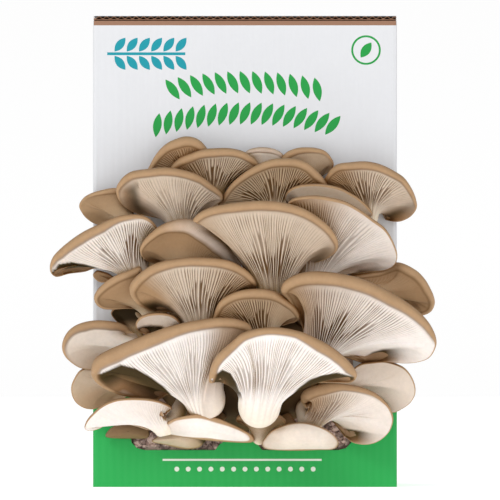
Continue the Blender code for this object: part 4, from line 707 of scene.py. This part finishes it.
def lens_rings(spec, look, seed):
    """The rings of a young mushroom whose whole cap faces forward, with its stem behind it,
    and their colours and ends, as mushroom_rings gives them."""
    neck = np.array(spec["neck"], float)
    knots = [np.array([x, neck[1] + spec["lean"] * (z - neck[2]) + extra, z]) for x, z, extra in spec["rim"]]
    curve = closed_curve(knots)
    length = np.concatenate([[0], np.cumsum(np.linalg.norm(np.diff(curve, axis=0), axis=1))])
    along = np.linspace(0, length[-1], LENS_COLUMNS)
    rim = np.stack([np.interp(along, length, curve[:, axis]) for axis in range(3)], axis=1)
    share = along / length[-1]
    centre = rim.mean(axis=0)
    out = unit((rim - centre) * [1, 0, 1])
    root = root_point(*spec["root"])
    stem_end = centre - AHEAD * (look["bulge"] + 1)
    rings = [on_mound(root + out * spec["root_radius"], FOOT_LIFT)]
    for part in (0.25, 0.5, 0.75, 1):
        rings.append(root + (stem_end - root) * part + out * spec["root_radius"])
    for part in (0.35, 0.75, 1):
        flare = rings[4] + (rim - AHEAD * 1.4 - rings[4]) * part
        rings.append(flare - AHEAD * 1.5 * part * (1 - part))
    rings += [rim - AHEAD * 0.7 + out * 0.15, rim]
    behind = len(rings)
    inner = np.linspace(1, 0.06, LENS_ROWS)[1:]
    for radius in inner:
        rings.append(centre + (rim - centre) * radius + AHEAD * look["bulge"] * (1 - radius ** 2.2))
    grid = np.array(rings)
    front = grid[behind:]
    front[..., 1] += 0.25 * waviness(front / 4, 1, seed) * (1 - inner[:, None] ** 2)
    hollow_shade, deep = carve_folds(grid, np.ones(len(grid)), np.ones((LENS_COLUMNS, 1)), look["folds"])

    across = (grid[..., 0] - rim[:, 0].min()) / np.ptp(rim[:, 0])
    places, values = np.array(look["tan_and_shade"], float).T
    base = mix(CREAM_FLESH, WHITE_FLESH, np.full(grid.shape[:2], look["pale"]))
    # Brown flesh across the cap, which in places is also painted shade
    colour = mix(base, TAN_FLESH, np.interp(across, places, values))
    places, values = np.array(look["band"], float).T
    width = np.interp(share, places, values)
    inside = np.ones(len(grid))
    inside[behind:] = inner
    from_edge = (1 - inside)[:, None] * np.linalg.norm(rim - centre, axis=1)
    colour = mix(colour, BAND, 1 - smoothstep(from_edge, 0.75 * width, width + 0.3))
    # Painted shade in a dark line along the rim
    colour = mix(colour, BAND_EDGE_SHADE, 0.6 * (1 - smoothstep(from_edge, 0, 0.5)))
    colour = colour * (1 + 0.06 * waviness(grid / 3, 1, seed + 2))[..., None]
    # Painted shade in the hollows beyond the folds
    colour = mix(colour, mix(OLIVE_SHADE, POCKET_SHADE_BROWN, deep), hollow_shade)
    foot = on_mound(root[None, :], FOOT_LIFT)[0]
    return list(grid), list(colour), (foot, centre + AHEAD * look["bulge"])


def to_world(points):
    """From (x, forward, z) in millimetres to metres in the scene."""
    x, ahead, z = np.moveaxis(np.asarray(points, float), -1, 0)
    return np.stack([x * MM, FRONT - ahead * MM, z * MM], axis=-1)


def add_piece(name, mesh, finish, body="kit"):
    """Link a new piece, give it its material, and let it ride on its body."""
    piece = bpy.data.objects.new(name, mesh)
    bpy.context.scene.collection.objects.link(piece)
    mesh.materials.append(finish)
    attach(piece, body)
    return piece


def coloured_mesh(name, points, faces, colours):
    """A smooth mesh with a colour for each point."""
    mesh = bpy.data.meshes.new(name)
    mesh.from_pydata(np.asarray(points).tolist(), [], faces)
    attribute = mesh.color_attributes.new("flesh", "FLOAT_COLOR", "POINT")
    values = np.concatenate([np.clip(colours, 0, 1), np.ones((len(points), 1))], axis=1)
    attribute.data.foreach_set("color", values.astype(np.float32).ravel())
    mesh.shade_smooth()
    mesh.update()
    return mesh


def grown_mesh(name, rings, colours, ends):
    """A closed mesh through rings of equal length, with a point at each end."""
    columns = len(rings[0])
    points = np.vstack([to_world(np.vstack(rings)), to_world(np.array(ends))])
    shades = np.vstack([np.vstack(colours), colours[0].mean(axis=0), colours[-1].mean(axis=0)])
    first, last = len(points) - 2, len(points) - 1
    index = np.arange(columns)
    after = (index + 1) % columns
    faces = []
    for row in range(len(rings) - 1):
        low, high = row * columns, (row + 1) * columns
        faces += np.stack([low + index, low + after, high + after, high + index], axis=1).tolist()
    faces += [(first, int(b), int(a)) for a, b in zip(index, after)]
    top = (len(rings) - 1) * columns
    faces += [(last, int(top + a), int(top + b)) for a, b in zip(index, after)]
    mesh = coloured_mesh(name, points, faces, shades)
    bm = bmesh.new()
    bm.from_mesh(mesh)
    bmesh.ops.recalc_face_normals(bm, faces=bm.faces)
    bm.to_mesh(mesh)
    bm.free()
    return mesh


class Maths:
    """Makes maths nodes in a material's node tree, from sockets and numbers."""

    def __init__(self, finish):
        self.tree = finish.node_tree

    def node(self, kind, **settings):
        new = self.tree.nodes.new(kind)
        for key, value in settings.items():
            setattr(new, key, value)
        return new

    def put(self, socket, value):
        if isinstance(value, bpy.types.NodeSocket):
            self.tree.links.new(value, socket)
        else:
            socket.default_value = value

    def __call__(self, operation, *values):
        new = self.node("ShaderNodeMath", operation=operation)
        for socket, value in zip(new.inputs, values):
            self.put(socket, value)
        return new.outputs[0]

    def mix(self, share, first, second):
        new = self.node("ShaderNodeMix", data_type="RGBA")
        self.put(new.inputs["Factor"], share)
        self.put(new.inputs["A"], first)
        self.put(new.inputs["B"], second)
        return new.outputs["Result"]

    def noise(self, place, scale, detail=3.0, roughness=0.5):
        new = self.node("ShaderNodeTexNoise")
        self.put(new.inputs["Vector"], place)
        new.inputs["Scale"].default_value = scale
        new.inputs["Detail"].default_value = detail
        new.inputs["Roughness"].default_value = roughness
        return new.outputs["Fac"]

    def between(self, value, low, high):
        """1 where a value lies between two limits."""
        return self("MULTIPLY", self("GREATER_THAN", value, low), self("LESS_THAN", value, high))

    def bump(self, height, strength, distance):
        new = self.node("ShaderNodeBump")
        new.inputs["Strength"].default_value = strength
        new.inputs["Distance"].default_value = distance
        self.put(new.inputs["Height"], height)
        return new.outputs["Normal"]


def new_material(name, roughness=0.6, specular=0.3):
    finish = bpy.data.materials.new(name)
    finish.use_nodes = True
    shader = finish.node_tree.nodes["Principled BSDF"]
    shader.inputs["Roughness"].default_value = roughness
    shader.inputs["Specular IOR Level"].default_value = specular
    return finish, shader, Maths(finish)


def colour4(colour):
    return (*[float(value) for value in colour], 1.0)


def flesh_material():
    """Mushroom flesh: the painted colours with their painted shade and highlights, painted shade in narrow gaps, fine
    fibres and a little light under the skin.
    """
    finish, shader, maths = new_material("oyster_mushroom_flesh", 0.62, 0.25)
    place = maths.node("ShaderNodeTexCoord").outputs["Object"]
    paint = maths.node("ShaderNodeAttribute", attribute_name="flesh").outputs["Color"]
    speckle = maths.noise(place, 900, 4)
    cloud = maths.noise(place, 160, 3)
    brightness = maths("ADD", maths("MULTIPLY", speckle, 0.16), maths("MULTIPLY", cloud, 0.14))
    brightness = maths("ADD", brightness, 0.85)
    scaled = maths.node("ShaderNodeVectorMath", operation="SCALE")
    maths.put(scaled.inputs[0], paint)
    maths.put(scaled.inputs["Scale"], brightness)
    # Painted shade: in narrow gaps, found by ambient occlusion, the colour is mixed towards a warm dark brown
    gap_shade_tint = maths.node("ShaderNodeVectorMath", operation="MULTIPLY")
    maths.put(gap_shade_tint.inputs[0], scaled.outputs["Vector"])
    gap_shade_tint.inputs[1].default_value = (0.50, 0.34, 0.14)
    open_air = maths.node("ShaderNodeAmbientOcclusion", samples=6)
    open_air.inputs["Distance"].default_value = 0.007
    openness = maths("MULTIPLY", maths("SUBTRACT", open_air.outputs["AO"], 0.3), 1.9)
    openness = maths("MINIMUM", maths("MAXIMUM", openness, 0.0), 1.0)
    maths.put(shader.inputs["Base Color"], maths.mix(openness, gap_shade_tint.outputs["Vector"], scaled.outputs["Vector"]))
    maths.put(shader.inputs["Normal"], maths.bump(maths.noise(place, 1400, 3), 0.25, 0.0002))
    shader.inputs["Subsurface Weight"].default_value = 0.12
    shader.inputs["Subsurface Radius"].default_value = (1.0, 0.6, 0.35)
    shader.inputs["Subsurface Scale"].default_value = 0.0012
    return finish


def build_mushrooms():
    flesh = flesh_material()
    for seed, spec in enumerate(MUSHROOMS):
        look = LOOKS[spec["name"]]
        grow = lens_rings if "bulge" in look else mushroom_rings
        mesh = grown_mesh(spec["name"] + "_grown", *grow(spec, look, seed))
        piece = add_piece(spec["name"] + "_grown", mesh, flesh)
        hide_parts(spec["name"])
    return flesh


def build_base(flesh):
    """The fused, lumpy base that the stems grow from."""
    columns, rows = 120, 30
    around = np.arange(columns) / columns * 2 * math.pi
    circle = np.stack([np.sin(around), np.zeros(columns), np.cos(around)], axis=1)
    rings = [MOUND_CENTRE + circle * MOUND_RADII - AHEAD * 1.7]
    for row in range(rows):
        slope = row / rows * math.pi / 2
        rings.append(MOUND_CENTRE + (circle * math.cos(slope) + AHEAD * math.sin(slope)) * MOUND_RADII)
    colours = []
    for number, ring in enumerate(rings):
        lumps = waviness(ring / 3.5, 1, 3) * 0.5 + waviness(ring / 1.4, 1, 8) * 0.25
        out = unit(ring - MOUND_CENTRE)
        ring += out * (lumps * min(1, number / 4))[:, None]
        # Painted shade: the base is dark brown and olive, darker in the dips between lumps
        colours.append(mix(POCKET_SHADE_BROWN * 0.8, OLIVE_SHADE, np.clip(0.6 - 0.4 * lumps, 0, 1)))
    ends = MOUND_CENTRE - AHEAD * 1.7, MOUND_CENTRE + AHEAD * MOUND_RADII[1]
    piece = add_piece("cluster_base_grown", grown_mesh("cluster_base_grown", rings, colours, ends), flesh)
    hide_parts("cluster_base")


# The carton's print and edges, in millimetres
GREEN_TOP = 32.0
RAW_EDGE = 162.5
BOARD_WHITE = linear(222, 223, 226)
BOARD_GREEN = linear(34, 172, 82)
BOARD_BROWN = linear(150, 112, 88)
BOARD_BROWN_DARK = linear(92, 62, 46)
PRINT_TEAL = linear(0, 145, 160)
PRINT_GREEN = linear(20, 150, 62)
PRINT_PALE = linear(232, 240, 226)


def leaf(maths, x, z, centre_x, centre_z, angle, length, width):
    """1 inside a pointed leaf that is turned by an angle from upright."""
    turn = math.radians(angle)
    dx = maths("SUBTRACT", x, centre_x)
    dz = maths("SUBTRACT", z, centre_z)
    along = maths("ADD", maths("MULTIPLY", dx, math.sin(turn)), maths("MULTIPLY", dz, math.cos(turn)))
    across = maths("SUBTRACT", maths("MULTIPLY", dx, math.cos(turn)), maths("MULTIPLY", dz, math.sin(turn)))
    share = maths("DIVIDE", along, length / 2)
    half = maths("MULTIPLY", maths("SUBTRACT", 1.0, maths("MULTIPLY", share, share)), width / 2)
    return maths("LESS_THAN", maths("ABSOLUTE", across), half)


def leaf_arch(maths, x, z, centre_z, radius, leaves, pitch, length, width, slant):
    """1 inside a row of slanting leaves along an arch around a centre below."""
    dz = maths("SUBTRACT", z, centre_z)
    angle = maths("ARCTAN2", x, dz)
    cell = maths("ROUND", maths("DIVIDE", angle, pitch))
    travel = maths("MULTIPLY", maths("SUBTRACT", angle, maths("MULTIPLY", cell, pitch)), radius)
    out = maths("SUBTRACT", maths("SQRT", maths("ADD", maths("MULTIPLY", x, x), maths("MULTIPLY", dz, dz))), radius)
    inside = leaf(maths, travel, out, 0, 0, slant, length, width)
    inside_row = maths("LESS_THAN", maths("ABSOLUTE", cell), leaves + 0.5)
    return maths("MULTIPLY", inside, inside_row)


def board_material(name, printed):
    """White coated corrugated board, with a green foot, faint flutes and raw brown edges."""
    finish, shader, maths = new_material(name, 0.55, 0.35)
    place = maths.node("ShaderNodeTexCoord").outputs["Object"]
    parts = maths.node("ShaderNodeSeparateXYZ")
    maths.put(parts.inputs[0], place)
    x, y, z = (maths("MULTIPLY", parts.outputs[axis], 1000.0) for axis in "XYZ")
    cloud = maths.noise(place, 55, 4)
    fibre = maths.noise(place, 700, 4)
    flute = maths("SINE", maths("MULTIPLY", maths("ADD", x, y), 2 * math.pi / 2.6))
    white = maths.mix(cloud, colour4(BOARD_WHITE * 0.94), colour4(BOARD_WHITE))
    white = maths.mix(maths("MULTIPLY", fibre, 0.12), white, colour4(BOARD_WHITE * 0.72))
    if printed:
        front = maths("LESS_THAN", y, FRONT / MM + 0.6)
        streak = maths("MULTIPLY", maths("ADD", maths("MULTIPLY", flute, 0.5), 0.5), 0.10)
        green = maths.mix(streak, colour4(BOARD_GREEN), colour4(linear(70, 190, 105)))
        green = maths.mix(maths("MULTIPLY", cloud, 0.3), green, colour4(linear(20, 158, 66)))
        colour = maths.mix(maths("LESS_THAN", z, GREEN_TOP), white, green)

        # Teal sprig at the top left, ring and leaf at the top right
        teal = maths.between(z, 152.0, 153.0)
        teal = maths("MULTIPLY", teal, maths.between(x, -48.5, -21.0))
        for number in range(6):
            place_x = -45.5 + number * 4.3
            for side in (-1, 1):
                one = leaf(maths, x, z, place_x + 1.5, 152.5 + side * 3.2, side * 38 + (0 if side > 0 else 180), 6.2, 2.8)
                teal = maths("MAXIMUM", teal, one)
        colour = maths.mix(maths("MULTIPLY", teal, front), colour, colour4(PRINT_TEAL))
        dx = maths("SUBTRACT", x, 42.6)
        dz = maths("SUBTRACT", z, 153.8)
        distance = maths("SQRT", maths("ADD", maths("MULTIPLY", dx, dx), maths("MULTIPLY", dz, dz)))
        badge = maths("MAXIMUM", maths.between(distance, 4.5, 5.2), leaf(maths, x, z, 42.6, 153.8, 35, 6.5, 3.2))
        # Two arched rows of green leaves
        arch = leaf_arch(maths, x, z, 15.0, 116.5, 8, 0.0335, 8.6, 3.0, 24)
        upper = leaf_arch(maths, x, z, 15.0, 127.5, 6, 0.0335, 8.6, 3.0, -24)
        green_print = maths("MAXIMUM", badge, maths("MAXIMUM", arch, upper))
        colour = maths.mix(maths("MULTIPLY", green_print, front), colour, colour4(PRINT_GREEN))
        # Thin pale lines and dots on the green foot
        pale = maths("MULTIPLY", maths.between(z, 9.2, 9.9), maths.between(x, -29, 27))
        cell = maths("ROUND", maths("DIVIDE", x, 4.0))
        dot_x = maths("SUBTRACT", x, maths("MULTIPLY", cell, 4.0))
        dot_z = maths("SUBTRACT", z, 6.3)
        dot = maths("SQRT", maths("ADD", maths("MULTIPLY", dot_x, dot_x), maths("MULTIPLY", dot_z, dot_z)))
        dots = maths("MULTIPLY", maths("LESS_THAN", dot, 0.85), maths("LESS_THAN", maths("ABSOLUTE", cell), 6.5))
        pale = maths("MAXIMUM", pale, dots)
        colour = maths.mix(maths("MULTIPLY", pale, front), colour, colour4(PRINT_PALE))
        raw = maths("MULTIPLY", maths("GREATER_THAN", z, RAW_EDGE), front)
        colour = maths.mix(raw, colour, colour4(BOARD_BROWN))
    else:
        colour = white
    maths.put(shader.inputs["Base Color"], colour)
    height = maths("ADD", maths("MULTIPLY", flute, 0.5), maths("MULTIPLY", fibre, 0.6))
    maths.put(shader.inputs["Normal"], maths.bump(height, 0.12, 0.0003))
    return finish


def raw_edge_material():
    finish, shader, maths = new_material("raw_corrugated_edge", 0.85, 0.15)
    place = maths.node("ShaderNodeTexCoord").outputs["Object"]
    fibre = maths.noise(place, 900, 4)
    colour = maths.mix(fibre, colour4(BOARD_BROWN_DARK), colour4(BOARD_BROWN * 1.25))
    maths.put(shader.inputs["Base Color"], colour)
    maths.put(shader.inputs["Normal"], maths.bump(fibre, 0.4, 0.0003))
    return finish


def extruded_strip(name, outline, low_y, high_y):
    """A closed mesh of an outline in X and Z, in millimetres, along Y in metres."""
    bm = bmesh.new()
    front = [bm.verts.new((x * MM, low_y, z * MM)) for x, z in outline]
    back = [bm.verts.new((x * MM, high_y, z * MM)) for x, z in outline]
    count = len(outline)
    for index in range(count):
        after = (index + 1) % count
        bm.faces.new((front[index], front[after], back[after], back[index]))
    half = count // 2
    for row in (front, back):
        for index in range(half - 1):
            bm.faces.new((row[index], row[index + 1], row[count - 2 - index], row[count - 1 - index]))
    bmesh.ops.recalc_face_normals(bm, faces=bm.faces)
    mesh = bpy.data.meshes.new(name)
    bm.to_mesh(mesh)
    bm.free()
    return mesh


def fluted_outline(half_width, low_z, high_z, thickness, pitch):
    """The section of the wavy middle sheet of corrugated board."""
    steps = int(half_width * 2 / pitch * 8)
    xs = np.linspace(-half_width, half_width, steps)
    middle = (low_z + high_z) / 2
    swing = (high_z - low_z - thickness) / 2
    wave = middle + swing * np.sin(xs / pitch * 2 * math.pi)
    upper = [(x, z + thickness / 2) for x, z in zip(xs, wave)]
    lower = [(x, z - thickness / 2) for x, z in zip(xs, wave)]
    return upper + lower[::-1]


def flat_outline(half_width, low_z, high_z):
    return [(-half_width, high_z), (half_width, high_z), (half_width, low_z), (-half_width, low_z)]


def build_lid_flap():
    """The lid flap as real corrugated board: two liners with a wavy sheet between them."""
    low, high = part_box("lid_flap")
    half_width = high.x / MM
    low_z, high_z = low.z / MM, high.z / MM
    liner = 0.25
    raw = raw_edge_material()
    white = board_material("flap_board_white", False)
    for name, bottom, top, finish in (("lid_flap_outer_liner", high_z - liner, high_z, white),
                                      ("lid_flap_inner_liner", low_z, low_z + liner, raw)):
        mesh = extruded_strip(name, flat_outline(half_width, bottom, top), low.y, high.y)
        piece = add_piece(name, mesh, finish, "flap")
        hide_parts("lid_flap")
    wave = fluted_outline(half_width, low_z + liner, high_z - liner, 0.3, 2.6)
    mesh = extruded_strip("lid_flap_flutes", wave, low.y + 0.1 * MM, high.y - 0.1 * MM)
    piece = add_piece("lid_flap_flutes", mesh, raw, "flap")
    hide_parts("lid_flap")


def substrate_material():
    finish, shader, maths = new_material("substrate_crumb", 0.85, 0.2)
    place = maths.node("ShaderNodeTexCoord").outputs["Object"]
    lumps = maths.noise(place, 320, 5, 0.6)
    threads = maths.noise(place, 900, 5, 0.6)
    colour = maths.mix(maths("GREATER_THAN", lumps, 0.5), colour4(linear(92, 58, 46)), colour4(linear(204, 172, 160)))
    colour = maths.mix(maths("MULTIPLY", threads, 0.6), colour, colour4(linear(226, 205, 196)))
    maths.put(shader.inputs["Base Color"], colour)
    maths.put(shader.inputs["Normal"], maths.bump(lumps, 0.6, 0.001))
    return finish


def build_crumbs(crumb):
    """Lumps of grown-through sawdust, along the foot of the window."""
    template = bmesh.new()
    bmesh.ops.create_icosphere(template, subdivisions=2, radius=1.0)
    shape = np.array([vert.co[:] for vert in template.verts])
    faces = np.array([[vert.index for vert in face.verts] for face in template.faces])
    template.free()
    chance = np.random.default_rng(7)
    points, every_face = [], []
    count = 0
    for x in np.arange(-39.0, 37.5, 1.5):
        for z in np.arange(14.6, 22.5, 1.5):
            size = chance.uniform(0.7, 1.35)
            centre = np.array([x + chance.uniform(-0.6, 0.6), -2.3 + chance.uniform(0, 1.1),
                               z + chance.uniform(-0.5, 0.5)])
            stretch = chance.uniform(0.75, 1.25, 3)
            lump = shape * size * stretch
            lump = lump * (1 + 0.18 * waviness(lump * 2.2 + centre, 1, count))[:, None]
            points.append(centre + lump)
            every_face.append(faces + count * len(shape))
            count += 1
    mesh = bpy.data.meshes.new("substrate_crumbs")
    mesh.from_pydata(to_world(np.vstack(points)).tolist(), [], np.vstack(every_face).tolist())
    mesh.shade_smooth()
    piece = add_piece("substrate_crumbs", mesh, crumb)


def dress_cad_nodes():
    """Materials of the CAD nodes that stay."""
    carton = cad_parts["carton"]
    carton.data.materials.clear()
    carton.data.materials.append(board_material("carton_board_printed", True))
    crumb = substrate_material()
    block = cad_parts["substrate_block"]
    block.data.materials.clear()
    block.data.materials.append(crumb)
    return crumb


def build_stage():
    """A plain white floor, white surroundings, soft lights and the camera."""
    floor_mesh = bpy.data.meshes.new("floor")
    half = 3.0
    floor_mesh.from_pydata([(-half, -half, 0), (half, -half, 0), (half, half, 0), (-half, half, 0)], [], [(0, 1, 2, 3)])
    finish, shader, maths = new_material("floor_white", 0.9, 0.1)
    shader.inputs["Base Color"].default_value = (0.85, 0.85, 0.85, 1)
    shader.inputs["Emission Color"].default_value = (1, 1, 1, 1)
    shader.inputs["Emission Strength"].default_value = 0.62
    floor_mesh.materials.append(finish)
    floor = bpy.data.objects.new("floor", floor_mesh)
    bpy.context.scene.collection.objects.link(floor)

    # White all around at eye level, and darker towards the top and the bottom
    world = bpy.data.worlds.new("studio")
    world.use_nodes = True
    maths = Maths(world)
    height = maths.node("ShaderNodeSeparateXYZ")
    maths.put(height.inputs[0], maths.node("ShaderNodeTexCoord").outputs["Generated"])
    fade = maths("MULTIPLY", maths("ABSOLUTE", height.outputs["Z"]), 1.6)
    strength = maths("SUBTRACT", 1.0, maths("MULTIPLY", maths("MINIMUM", fade, 1.0), 0.55))
    maths.put(world.node_tree.nodes["Background"].inputs["Strength"], strength)
    world.node_tree.nodes["Background"].inputs["Color"].default_value = (1, 1, 1, 1)
    bpy.context.scene.world = world
    bpy.context.scene.view_settings.view_transform = "Standard"

    target = Vector((0, FRONT, 0.085))
    for name, place, size, power in (("key", (-0.35, -0.9, 0.75), 0.5, 4.0), ("fill", (0.7, -0.9, 0.2), 0.7, 0.8)):
        lamp = bpy.data.lights.new(name, "AREA")
        lamp.size = size
        lamp.energy = power
        lamp_object = bpy.data.objects.new(name, lamp)
        lamp_object.location = place
        lamp_object.rotation_euler = (target - Vector(place)).to_track_quat("-Z", "Y").to_euler()
        bpy.context.scene.collection.objects.link(lamp_object)

    lens = bpy.data.cameras.new("camera")
    lens.sensor_width = SENSOR_WIDTH
    lens.lens = SENSOR_WIDTH * CAMERA_DISTANCE / (IMAGE_SIZE * PIXEL)
    lens.clip_end = 100
    camera = bpy.data.objects.new("camera", lens)
    camera.location = (VIEW_CENTRE_X, FRONT - CAMERA_DISTANCE, VIEW_CENTRE_Z)
    camera.rotation_euler = (math.radians(90), 0, 0)
    bpy.context.scene.collection.objects.link(camera)
    bpy.context.scene.camera = camera


flesh = build_mushrooms()
build_base(flesh)
build_lid_flap()
build_crumbs(dress_cad_nodes())
build_stage()

bpy.context.view_layer.update()
